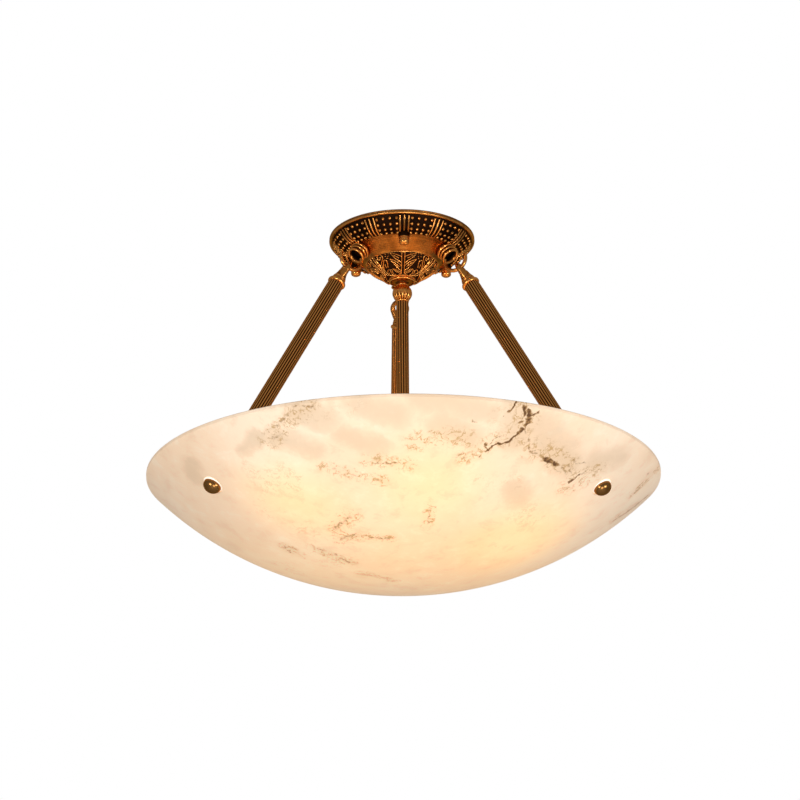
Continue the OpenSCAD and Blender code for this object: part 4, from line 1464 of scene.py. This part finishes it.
@dataclass
class CentreStack:
    """The dished disc, melon ball, ring and fluted stem on the threaded nipple."""

    plan: Plan
    cup: AcanthusCup
    disc_r: float = 13.2
    disc_t: float = 2.2
    neck_h: float = 4.5
    ball_r: float = 10.0
    ball_h: float = 14.6
    lobes: int = 16
    ring_t: float = 2.4
    stem_r: float = 6.3
    stem_len: float = 211.0
    stem_flutes: int = 15
    stem_flute_d: float = 0.75

    def build(self, library: Library, trees: dict[str, RuleTree]) -> None:
        """Build the stack from the cup down.

        Args:
            library: the finishes.
            trees: the rule trees.
        """
        bore, r, t = self.plan.nipple_bore, self.disc_r, self.disc_t
        top = -(self.plan.collar_foot_d + self.cup.height)
        neck, low, foot = r / 2.1, top - t, top - t - self.neck_h
        disc, ring = Draft(), Draft()
        disc.lathe([(bore, top), (r - 1.2, top), *arc((r - t / 2, top - t / 2), t / 2, 80, -80, 8),
                    (r - 1.7, low + 0.5), (r - 3.6, low + 0.75), (neck + 1.6, low + 0.5),
                    (neck - 0.1, low - 0.2), (neck - 0.9, low - 1.2),
                    (neck - 0.8, low - 2.0), *arc((neck - 0.9, low - 3.2), 0.9, 80, -80, 7), (neck - 1.1, foot),
                    (bore, foot)],
                   worn=[0.3, 0.4, *[1.0] * 9, 0.12, 0.5, 0.45, 0.2, 0.3, 0.4, *[1.0] * 8, 0.4, 0.3], loop=True,
                   segments=96)
        disc.place("dished_disc", library.cast_brass, "finial_disc")
        self.melon(library, foot)
        low = foot - self.ball_h
        rr, tt = self.stem_r + 0.5, self.ring_t
        ring.lathe([(bore, low), *arc((rr - tt / 2, low - tt / 2), tt / 2, 90, -90, 10), (bore, low - tt)],
                   worn=[0.3, *[0.9] * 11, 0.3], loop=True)
        ring.place("turned_stem_ring", library.smooth_brass, "stem_ring")
        mesh = trees["flutes"].run(bpy.data.meshes.new("stem_base"), {
            "Radius": self.stem_r, "Flutes": self.stem_flutes, "Depth": self.stem_flute_d, "Length": self.stem_len,
            "Finish": library.fluted_brass})
        mesh = scaled(mesh, shifted(0, low - tt - self.stem_len), 50)
        place_piece("fluted_stem", mesh, library.fluted_brass, "centre_stem")

    def melon(self, library: Library, top: float) -> None:
        """Build the ball, cut into lobes below a smooth cap.

        Args:
            library: the finishes.
            top: the height of its top.
        """
        mid, bore, steps = self.ball_h / 2, self.plan.nipple_bore, self.lobes * 16
        flat = math.degrees(math.asin(4.85 / self.ball_r)) + 12
        lift = np.radians(np.linspace(90 - flat, flat - 90, 40))
        turn = np.arange(steps) * 2 * math.pi / steps
        wave = np.abs(np.cos(turn * self.lobes / 2))
        cut = np.clip((math.radians(4) - lift) / math.radians(20), 0, 1)[:, None] * (1 - wave**0.7)[None]
        r = (self.ball_r * np.cos(lift))[:, None] * (1 - 0.13 * cut)
        z = top - mid + (mid * np.sin(lift) / math.cos(math.radians(flat)))
        rows = np.stack([r * np.cos(turn), r * np.sin(turn), np.broadcast_to(z[:, None], r.shape)], -1)
        ends = np.array([[(bore * math.cos(t), bore * math.sin(t), h) for t in turn] for h in (top - self.ball_h, top)])
        draft = Draft()
        draft.grid(np.concatenate([rows, ends]), np.concatenate([1 - cut, np.full((2, steps), 0.3)]), loop=True)
        draft.place("lobed_ball", library.cast_brass, "melon_ball", sharp=60)


@dataclass
class HookBracket:
    """A ringed barrel with an open mouth, and the round-bar hook that springs from it."""

    plan: Plan
    barrel_r: float = 10.0
    barrel_len: float = 11.8
    mouth_r: float = 9.2
    floor: float = 4.6
    bend_r: float = 11.8
    bar_r: float = 2.0
    eye_reach: float = 22.8
    start_a: float = 168.0
    stop_a: float = 377.0

    def build(self, side: Side, library: Library) -> None:
        """Build one bracket.

        Args:
            side: which bracket.
            library: the finishes.
        """
        r, length, mouth = self.barrel_r, self.barrel_len, self.mouth_r
        at, ring, lip = length * 0.22, 1.4, 1.25
        draft = Draft()
        section = [(0.1, -2.4), (r - 1.5, -2.4), (r - 1.6, at - ring - 0.2), *arc((r - ring, at), ring, -80, 80, 10),
                   (r - 2.4, at + ring * 1.2), *arc((r - ring - 0.8, at + ring * 2.3), ring * 0.85, -75, 75, 9),
                   (mouth - 1.1, at + ring * 3.4), (mouth - 1.2, length - lip * 2.1),
                   *arc((mouth - lip, length - lip), lip, -50, 130, 12),
                   (mouth - 2.6, length - lip - 0.4), (mouth - 2.5, self.floor), (0.1, self.floor)]
        worn = [0.2, 0.2, 0.25, *[0.9] * 11, 0.15, *[0.88] * 10, 0.2, 0.25, *[0.92] * 13, 0.25, 0.08, 0.08]
        draft.lathe(section, self.plan.on_barrel(side.value), worn, segments=72)
        lean = math.radians(self.plan.arm_a)
        reach = self.eye_reach + self.bend_r
        centre = (self.plan.ring_r - reach * math.cos(lean), -self.plan.ring_d + reach * math.sin(lean))
        turn = np.radians(np.linspace(self.start_a, self.stop_a + 8, 54))
        path = [centre[0] + self.bend_r * np.cos(turn), np.zeros_like(turn), centre[1] + self.bend_r * np.sin(turn)]
        radii = np.full(len(turn), self.bar_r)
        radii[-5:] *= np.array([0.99, 0.93, 0.8, 0.58, 0.22])
        draft.bar(np.stack(path, 1), radii, turned(side.value), 0.85, 24)
        name = "bracket_" + side.word
        draft.place("hook_" + name, library.cast_brass, name)


@dataclass
class FlutedArm:
    """An arm: its eye and turned cone, collar ring, fluted tube, and the foot on the bowl's inside."""

    plan: Plan
    arm_r: float = 8.0
    flutes: int = 20
    depth: float = 0.9
    ring_r: float = 9.4
    ring_t: float = 4.0
    wire_r: float = 2.2
    eye_r: float = 7.2
    eye_mid: float = 19.4
    tie_bore: float = 3.08
    foot_h: float = 15.0
    soft_t: float = 1.5

    @property
    def foot_face(self) -> float:
        """Distance down the arm to the foot's face."""
        return self.plan.inner_seat - self.soft_t

    def eye(self, side: Side, library: Library) -> None:
        """Build the eye and its cone.

        Args:
            side: which arm.
            library: the finishes.
        """
        turn = np.radians(np.linspace(-30, 210, 48))
        bend = [(self.eye_r * math.cos(t), self.eye_mid + self.eye_r * math.sin(t)) for t in turn]
        legs = bent((1.8, 7.6), (4.2, 11.0), bend[0], 7)[:-1]
        other = [(-y, z) for y, z in reversed(legs)]
        path = np.array([(0, y, z) for y, z in [*legs, *bend, *other]])
        thick = np.interp(path[:, 2], (8.0, 15.0, 22.0, 27.0), (3.9, 3.0, 2.4, self.wire_r))
        draft = Draft()
        place = self.plan.on_arm(side.value)
        draft.bar(path, thick, place, 0.7, 24)
        cone = [(0.05, 2.0), (6.9, 2.0), (7.2, 2.3), (7.2, 3.4), *arc((6.4, 4.2), 0.8, -50, 60, 4), (6.1, 5.1),
                *arc((6.1, 5.9), 0.75, -50, 60, 4), (6.0, 6.7), (6.35, 7.0), (6.3, 7.5), (5.95, 7.9), (4.9, 12.6),
                *arc((3.0, 14.4), 1.6, 0, 90, 6), (0.05, 16.0)]
        worn = [0.3, 0.6, 0.8, 0.6, *[0.9] * 5, 0.15, *[0.9] * 5, 0.2, 0.9, 0.9, 0.5, 0.62, *[0.7] * 7, 0.6]
        draft.lathe(cone, place, worn, segments=64)
        name = "arm_eye_" + side.word
        draft.place("turned_" + name, library.smooth_brass, name, BOWL)

    def tube(self, side: Side, library: Library, trees: dict[str, RuleTree]) -> None:
        """Build the fluted tube.

        Args:
            side: which arm.
            library: the finishes.
            trees: the rule trees.
        """
        low = -(self.foot_face - self.foot_h + 7)
        mesh = trees["flutes"].run(bpy.data.meshes.new("tube_base"), {
            "Radius": self.arm_r, "Flutes": self.flutes, "Depth": self.depth + 0.25, "Length": -low - self.ring_t / 2,
            "Finish": library.fluted_brass})
        mesh = scaled(mesh, self.plan.on_arm(side.value) @ shifted(0, low), 50)
        name = "arm_tube_" + side.word
        place_piece("fluted_" + name, mesh, library.fluted_brass, name, BOWL)

    def rings_and_feet(self, library: Library) -> None:
        """Build the collar rings, the feet and their washers.

        Args:
            library: the finishes.
        """
        rings, feet, soft = Draft(), Draft(), Draft()
        b, t, h, rr = self.tie_bore, self.ring_t / 2, self.foot_h, self.ring_r - self.ring_t / 2
        low, seat = -self.foot_face, -self.plan.inner_seat
        f = self.plan.spot_r - 0.5
        for side in Side:
            place = self.plan.on_arm(side.value)
            rings.lathe([(b, -t), (rr - 0.3, -t), *arc((rr, -0.2), t - 0.2, -85, -10, 6),
                         *arc((rr, 0.2), t - 0.2, 10, 85, 6), (rr - 0.3, t), (b, t)],
                        place, [0.3, 0.5, *[0.95] * 14, 0.5, 0.3], loop=True, segments=72)
            feet.lathe([(b, low), (f - 0.3, low), (f, low + 0.3), (f, low + 2.3), (f - 0.5, low + 3.2),
                        (9.0, low + 4.4), (8.9, low + h - 3), (9.3, low + h - 2.2),
                        (9.3, low + h - 0.5), (8.9, low + h), (8.1, low + h),
                        (8.1, low + 8), (b, low + 8)], place, 0.75, loop=True, segments=72)
            soft.lathe([(b, seat), (f - 0.6, seat), (f - 0.5, seat + 0.4), (f - 0.5, low - 0.3), (f - 0.7, low),
                        (b, low)], place, 0.5, loop=True, segments=48)
        rings.place("turned_arm_collars", library.smooth_brass, "arm_collars", BOWL)
        feet.place("turned_arm_feet", library.smooth_brass, "arm_feet", BOWL)
        soft.place("rubber_inner_washers", library.rubber, "inner_washers", BOWL, "black_rubber")


@dataclass
class AlabasterBowl:
    """The turned bowl with its eased rim, its ground seats and its three holes."""

    plan: Plan
    rim_r: float = 250.0
    ease: float = 1.4
    hole_r: float = 3.5
    columns: int = 288

    def shell(self) -> Draft:
        """The turned bowl before its seats and holes are cut.

        Returns:
            The bowl's draft.
        """
        plan, outer, e = self.plan, self.plan.bowl_curve_r, self.ease
        inner, centre, rim = outer - plan.bowl_wall, -plan.bowl_centre, -plan.bowl_rim_d
        inner_rim = math.sqrt(inner**2 - (plan.bowl_rim_d - plan.bowl_centre) ** 2)
        edges = [math.degrees(math.asin(share)) for share in ((self.rim_r - 0.2) / outer, (inner_rim - 1.0) / inner)]
        outside, inside = ([(r * math.sin(math.radians(a)), centre - r * math.cos(math.radians(a))) for a in angles]
                           for r, angles in ((outer, np.linspace(0, edges[0], 90)),
                                             (inner, np.linspace(edges[1], 0, 60))))
        lip = [(self.rim_r - 0.05, rim - e), *arc((self.rim_r - e, rim - e), e, 25, 90, 4),
               *arc((inner_rim + 1.0 + e, rim - e), e, 90, 165, 4)]
        draft = Draft()
        draft.lathe(outside + lip + inside, worn=0.5, segments=self.columns)
        return draft

    def cutters(self) -> Draft:
        """The holes and ground seats, as solids to take away.

        Returns:
            The cutters' draft.
        """
        draft, out, into = Draft(), -self.plan.outer_seat, -self.plan.inner_seat
        for side in Side:
            for r, low, high in ((self.hole_r, out - 5, into + 5), (self.plan.spot_r, out - 12, out),
                                 (self.plan.spot_r, into, into + 12)):
                draft.lathe([(0, low), (r, low), (r, high), (0, high)], self.plan.on_arm(side.value), segments=48)
        return draft

    def build(self, library: Library) -> None:
        """Build the bowl and cut its seats and holes.

        Args:
            library: the finishes.
        """
        body = bpy.data.objects.new("bowl_body", self.shell().mesh("bowl_body", 50))
        knife = bpy.data.objects.new("seat_cutters", self.cutters().mesh("seat_cutters"))
        for holder in (body, knife):
            bpy.context.scene.collection.objects.link(holder)
        cut = body.modifiers.new("seats", "BOOLEAN")
        cut.object, cut.operation, cut.solver, cut.use_self = knife, "DIFFERENCE", "EXACT", True
        graph = bpy.context.evaluated_depsgraph_get()
        result = bpy.data.meshes.new_from_object(body.evaluated_get(graph))
        for holder in (body, knife):
            bpy.data.objects.remove(holder)
        result.shade_smooth()
        result.set_sharp_from_angle(angle=math.radians(40))
        place_piece("turned_alabaster_bowl", result, library.alabaster, "alabaster_bowl", BOWL)


@dataclass
class BowlFixing:
    """The domed nut, and the milky washer with a painted glow, on the outside of the bowl at each arm's end."""

    plan: Plan
    nut_r: float = 8.6
    nut_h: float = 8.0
    washer_t: float = 1.2
    bore: float = 3.08
    skirt: float = 1.2

    def build(self, side: Side, library: Library) -> None:
        """Build one nut and its washer.

        Args:
            side: which arm.
            library: the finishes.
        """
        seat, b, t = -self.plan.outer_seat, self.bore, self.washer_t
        place, washer, nut = self.plan.on_arm(side.value), Draft(), Draft()
        r = self.plan.spot_r - 0.4
        washer.lathe([(b, seat), (r, seat), (r, seat - t + 0.4), (r - 0.4, seat - t), (b, seat - t)], place, 0.5,
                     loop=True, segments=64)
        name = "bowl_washer_" + side.word
        # The washer's emission is a painted glow.
        washer.place("milky_" + name, library.milky_painted_glow, name, name, "clear_plastic")
        down = place @ shifted(0, seat - t) @ FLIP
        r, high = self.nut_r, self.nut_h - self.skirt
        dome = [(r * math.cos(a), self.skirt + high * math.sin(a)) for a in np.radians(np.linspace(0, 90, 22))]
        nut.lathe([(b, 6), (b, 0), (r - 0.3, 0), (r, 0.3), *dome], down, 0.8, segments=72)
        nut.lathe([(b, 6), (0, 6)], down, 0.3, segments=72)
        name = "bowl_nut_" + side.word
        nut.place("domed_" + name, library.dark_brass, name, name)


@dataclass
class LampCluster:
    """The hub, its cover and knob, and the three lamp arms, lampholders and bulbs."""

    plan: Plan
    hub_r: float = 17.0
    hub_half: float = 14.0
    holder_in: float = 40.0
    holder_len: float = 42.0
    holder_r: float = 17.5
    cap_r: float = 13.0
    bulb_r: float = 27.0
    bulb_len: float = 68.0

    def hub(self, library: Library) -> None:
        """Build the hub and its cover.

        Args:
            library: the finishes.
        """
        top, low, r = -self.plan.hub_d + self.hub_half, -self.plan.hub_d - self.hub_half, self.hub_r
        hub, cover = Draft(), Draft()
        hub.lathe([(6.45, top - 2.5), (6.45, top + 6), (9.0, top + 6), (9.3, top + 5.6), (9.3, top + 1.2),
                   (9.8, top), (r - 1, top), (r, top - 1), (r, top - 5), (r - 0.6, top - 5.6), (r - 0.6, low + 5.6),
                   (r, low + 5), (r, low + 0.4), (r - 0.4, low), (r - 2.5, low), (r - 2.5, top - 2.5)],
                  worn=0.7, loop=True, segments=96)
        hub.place("turned_lamp_hub", library.smooth_brass, "lamp_hub")
        dish = [(r * math.cos(a), 1.5 + 6 * math.sin(a)) for a in np.radians(np.linspace(0, 72, 14))]
        knob = arc((0, 14), 5, -62, 90, 14)
        cover.lathe([(0, 0), (r - 0.3, 0), (r, 0.3), *dish, (4.6, 7.6), (3.6, 8.2), (3.4, 9.0), (3.0, 9.4), *knob],
                    shifted(0, low) @ FLIP, 0.7, segments=96)
        cover.place("turned_hub_cover", library.smooth_brass, "hub_cover")

    def lamp(self, lamp: Lamp, library: Library, trees: dict[str, RuleTree]) -> None:
        """Build one lamp arm with its lampholder and bulb.

        Args:
            lamp: which lamp.
            library: the finishes.
            trees: the rule trees.
        """
        place, word = self.plan.on_lamp(lamp.value), lamp.word
        near, out = self.holder_in, self.holder_in + self.holder_len
        arm, holder = Draft(), Draft()
        arm.lathe([(3.4, 14.8), (5, 14.8), (5, 17.6), *arc((6, 19.1), 1.0, -70, 70, 5), (5, 20.6), (5, near - 3.4),
                   *arc((6, near - 1.6), 1.2, -70, 70, 5), (5, near), (5, near + 4), (3.4, near + 4)], place, 0.75,
                  loop=True)
        name = "lamp_arm_" + word
        arm.place("turned_" + name, library.smooth_brass, name)
        r, b = self.holder_r, self.cap_r + 0.3
        rib = [(r if i % 2 else r - 0.5, near + 8 + 1.6 * i) for i in range(14)]
        holder.lathe([(5.08, near), (r - 1, near), (r, near + 1), (r, near + 7), *rib, (r, out - 7.6),
                      (r + 1.2, out - 7), (r + 1.2, out - 4), (r - 1.2, out - 4), (r - 1.2, out), (b, out),
                      (b, near + 5), (5.08, near + 5)], place, 0.5, loop=True, segments=80)
        name = "lampholder_" + word
        holder.place("ribbed_" + name, library.ceramic, name, slot="white_ceramic")
        self.cap(place, word, library, trees)
        self.glass(place, word, library)

    def cap(self, place: Matrix, word: str, library: Library, trees: dict[str, RuleTree]) -> None:
        """Build one bulb's threaded cap.

        Args:
            place: the lamp's frame.
            word: the lamp's word.
            library: the finishes.
            trees: the rule trees.
        """
        near, out = self.holder_in + 10, self.holder_in + self.holder_len + 1
        c = self.cap_r - 1.1
        cap = Draft()
        cap.lathe([(0, near - 2), (3.2, near - 2), (3.2, near - 0.6), (5, near - 0.6), (c, near + 3), (c, out),
                   (0, out)], None, 0.7, segments=60)
        mesh = trees["thread"].run(cap.raw("cap_base"), {"Turns": 4.0, "Radius": c, "Height": 14.4, "Start": near + 6.5,
                                                         "Ridge": 1.05, "Finish": library.cap_metal})
        name = "bulb_cap_" + word
        place_piece("threaded_" + name, scaled(mesh, place), library.cap_metal, name, "bulb_" + word)

    def glass(self, place: Matrix, word: str, library: Library) -> None:
        """Build one bulb's frosted glass.

        Args:
            place: the lamp's frame.
            word: the lamp's word.
            library: the finishes.
        """
        out = self.holder_in + self.holder_len + 1
        neck, globe = self.cap_r - 0.6, self.bulb_len - self.bulb_r
        side = 180 - math.degrees(math.acos((self.bulb_r - neck) / globe)) + 12

        def outline(w: float) -> list[Point]:
            """The glass outline at a distance inside its outer face."""
            globe_part = [((self.bulb_r - w) * math.sin(t), out + globe + (self.bulb_r - w) * math.cos(t))
                          for t in np.radians(np.linspace(side, 0, 34))]
            return [(neck - w, out + (0.05 if w else 0.0)), (neck - w + 0.3, out + 3), (neck - w + 0.8, out + 6),
                    *globe_part]

        glass = Draft()
        glass.lathe(outline(0.0) + outline(1.0)[::-1], place, 0.5, loop=True, segments=72)
        name = "bulb_glass_" + word
        glass.place("frosted_" + name, library.bulb, name, "bulb_" + word, "frosted_glass")

    def build(self, library: Library, trees: dict[str, RuleTree]) -> None:
        """Build the cluster.

        Args:
            library: the finishes.
            trees: the rule trees.
        """
        self.hub(library)
        for lamp in Lamp:
            self.lamp(lamp, library, trees)


@dataclass
class HiddenFixings:
    """The CAD nodes that keep their own meshes, and what each is made of."""

    zinc: tuple[str, ...] = ("mounting_plate", "canopy_studs", "nipple", "nipple_locknuts", "bracket_nuts", "tie_rods")
    dark: tuple[str, ...] = ("bracket_screws",)
    contact: tuple[str, ...] = ("earth_screw", "lampholder_contacts")

    def build(self, library: Library) -> None:
        """Give each kept node its finish.

        Args:
            library: the finishes.
        """
        finishes = {name: finish for names, finish in (
            (self.zinc, library.zinc), (self.dark, library.dark_brass), (self.contact, library.contact_brass),
            (("terminal_block",), library.plastic)) for name in names}
        for name, finish in {**finishes, **library.wires}.items():
            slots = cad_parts[name].data.materials
            if not slots:
                slots.append(finish)
            for index in range(len(slots)):
                slots[index] = finish
            LOG.info("%s keeps its CAD mesh, in %s", name, finish.name)


@dataclass(frozen=True)
class SoftLight:
    """A soft square light that faces the middle of the object: sizes in metres, power in watts."""

    name: str
    at: Spot
    size: float
    power: float
    colour: Colour
    aim: Spot = (0.0, 0.0, -0.16)

    def build(self) -> None:
        """Place the light."""
        data = bpy.data.lights.new(self.name, "AREA")
        data.shape, data.size, data.energy, data.color = "SQUARE", self.size, self.power, self.colour
        light = bpy.data.objects.new(self.name, data)
        facing = (Vector(self.aim) - Vector(self.at)).to_track_quat("-Z", "Y")
        light.matrix_world = Matrix.Translation(self.at) @ facing.to_matrix().to_4x4()
        bpy.context.scene.collection.objects.link(light)


@dataclass
class Studio:
    """The camera of the photo, the pale floor and the soft light."""

    at: Spot = (-0.0787, -1.9714, -0.8895)
    look: Point = (0.0384, 0.9993)
    pitch: float = 19.91
    roll: float = -0.36
    lens: float = 95.27
    sensor: float = 36.0
    floor_z: float = -1.45
    floor_half: float = 4.0
    cast_colour: Colour = (1.0, 0.98, 0.95)
    cast_strength: float = 0.31
    lights: tuple[SoftLight, ...] = (
        SoftLight("key_light", (-1.0, -1.4, -0.8), 0.30, 10, (1.0, 0.97, 0.93)),
        SoftLight("fill_light", (1.1, -1.2, -0.8), 0.30, 9, (1.0, 0.97, 0.94)),
        SoftLight("low_light", (0.15, -1.3, -1.3), 0.6, 7, (1.0, 0.98, 0.96)))

    def camera(self) -> None:
        """Place the camera."""
        p, r = math.radians(self.pitch), math.radians(self.roll)
        ahead = np.array([self.look[0] * math.cos(p), self.look[1] * math.cos(p), math.sin(p)])
        right = np.array([self.look[1], -self.look[0], 0.0])
        up = np.cross(right, ahead)
        level, tall = math.cos(r) * right + math.sin(r) * up, math.cos(r) * up - math.sin(r) * right
        camera = bpy.data.objects.new("camera", bpy.data.cameras.new("camera"))
        camera.data.lens, camera.data.sensor_width, camera.data.clip_start = self.lens, self.sensor, 0.01
        camera.matrix_world = Matrix([[level[i], tall[i], -ahead[i], self.at[i]] for i in range(3)] + [[0, 0, 0, 1]])
        bpy.context.scene.collection.objects.link(camera)
        bpy.context.scene.camera = camera

    def floor(self, library: Library) -> None:
        """Lay the floor.

        Args:
            library: the finishes.
        """
        mesh = bpy.data.meshes.new("floor")
        s = self.floor_half
        corners = [(x, y, self.floor_z) for x, y in ((-s, -s), (s, -s), (s, s), (-s, s))]
        mesh.from_pydata(corners, [], [(0, 1, 2, 3)])
        mesh.materials.append(library.floor)
        floor = bpy.data.objects.new("floor", mesh)
        bpy.context.scene.collection.objects.link(floor)

    def world(self) -> None:
        """Light the scene softly, and show a white background to the camera."""
        world = bpy.data.worlds.new("studio")
        world.use_nodes = True
        bpy.context.scene.world = world
        pen = Pen(world.node_tree)
        seen, out = (world.node_tree.nodes[name] for name in ("Background", "World Output"))
        pen.feed(seen, {"Color": (1, 1, 1, 1), "Strength": 1.0})
        cast = pen.one("ShaderNodeBackground", {"Color": (*self.cast_colour, 1), "Strength": self.cast_strength})
        path = pen.add("ShaderNodeLightPath")
        mix = {0: path.outputs["Is Camera Ray"], 1: cast, 2: seen.outputs[0]}
        pen.feed(out, {"Surface": pen.one("ShaderNodeMixShader", mix)})

    def build(self, library: Library) -> None:
        """Build the studio.

        Args:
            library: the finishes.
        """
        self.camera()
        shown = bpy.context.scene.view_settings
        shown.view_transform, shown.look, shown.exposure, shown.gamma = "Standard", "None", 0.0, 1.0
        self.floor(library)
        self.world()
        for light in self.lights:
            light.build()
        LOG.info("studio placed")


def main() -> None:
    """Build the light from the ceiling down, then its studio."""
    logging.basicConfig(level=logging.INFO, format="%(message)s")
    plan = Plan()
    library = Library(plan)
    trees = {"flutes": fluted_bar_tree(), "thread": thread_tree(), "pearls": pearl_tree()}
    canopy = Canopy(plan)
    canopy.build(library, trees)
    CanopyNuts(canopy).build(library)
    cup = AcanthusCup(plan)
    cup.build(library)
    CentreStack(plan, cup).build(library, trees)
    arm = FlutedArm(plan)
    for side in Side:
        HookBracket(plan).build(side, library)
        arm.eye(side, library)
        arm.tube(side, library, trees)
        BowlFixing(plan).build(side, library)
    arm.rings_and_feet(library)
    AlabasterBowl(plan).build(library)
    LampCluster(plan).build(library, trees)
    HiddenFixings().build(library)
    Studio().build(library)


if __name__ == "__main__":
    main()
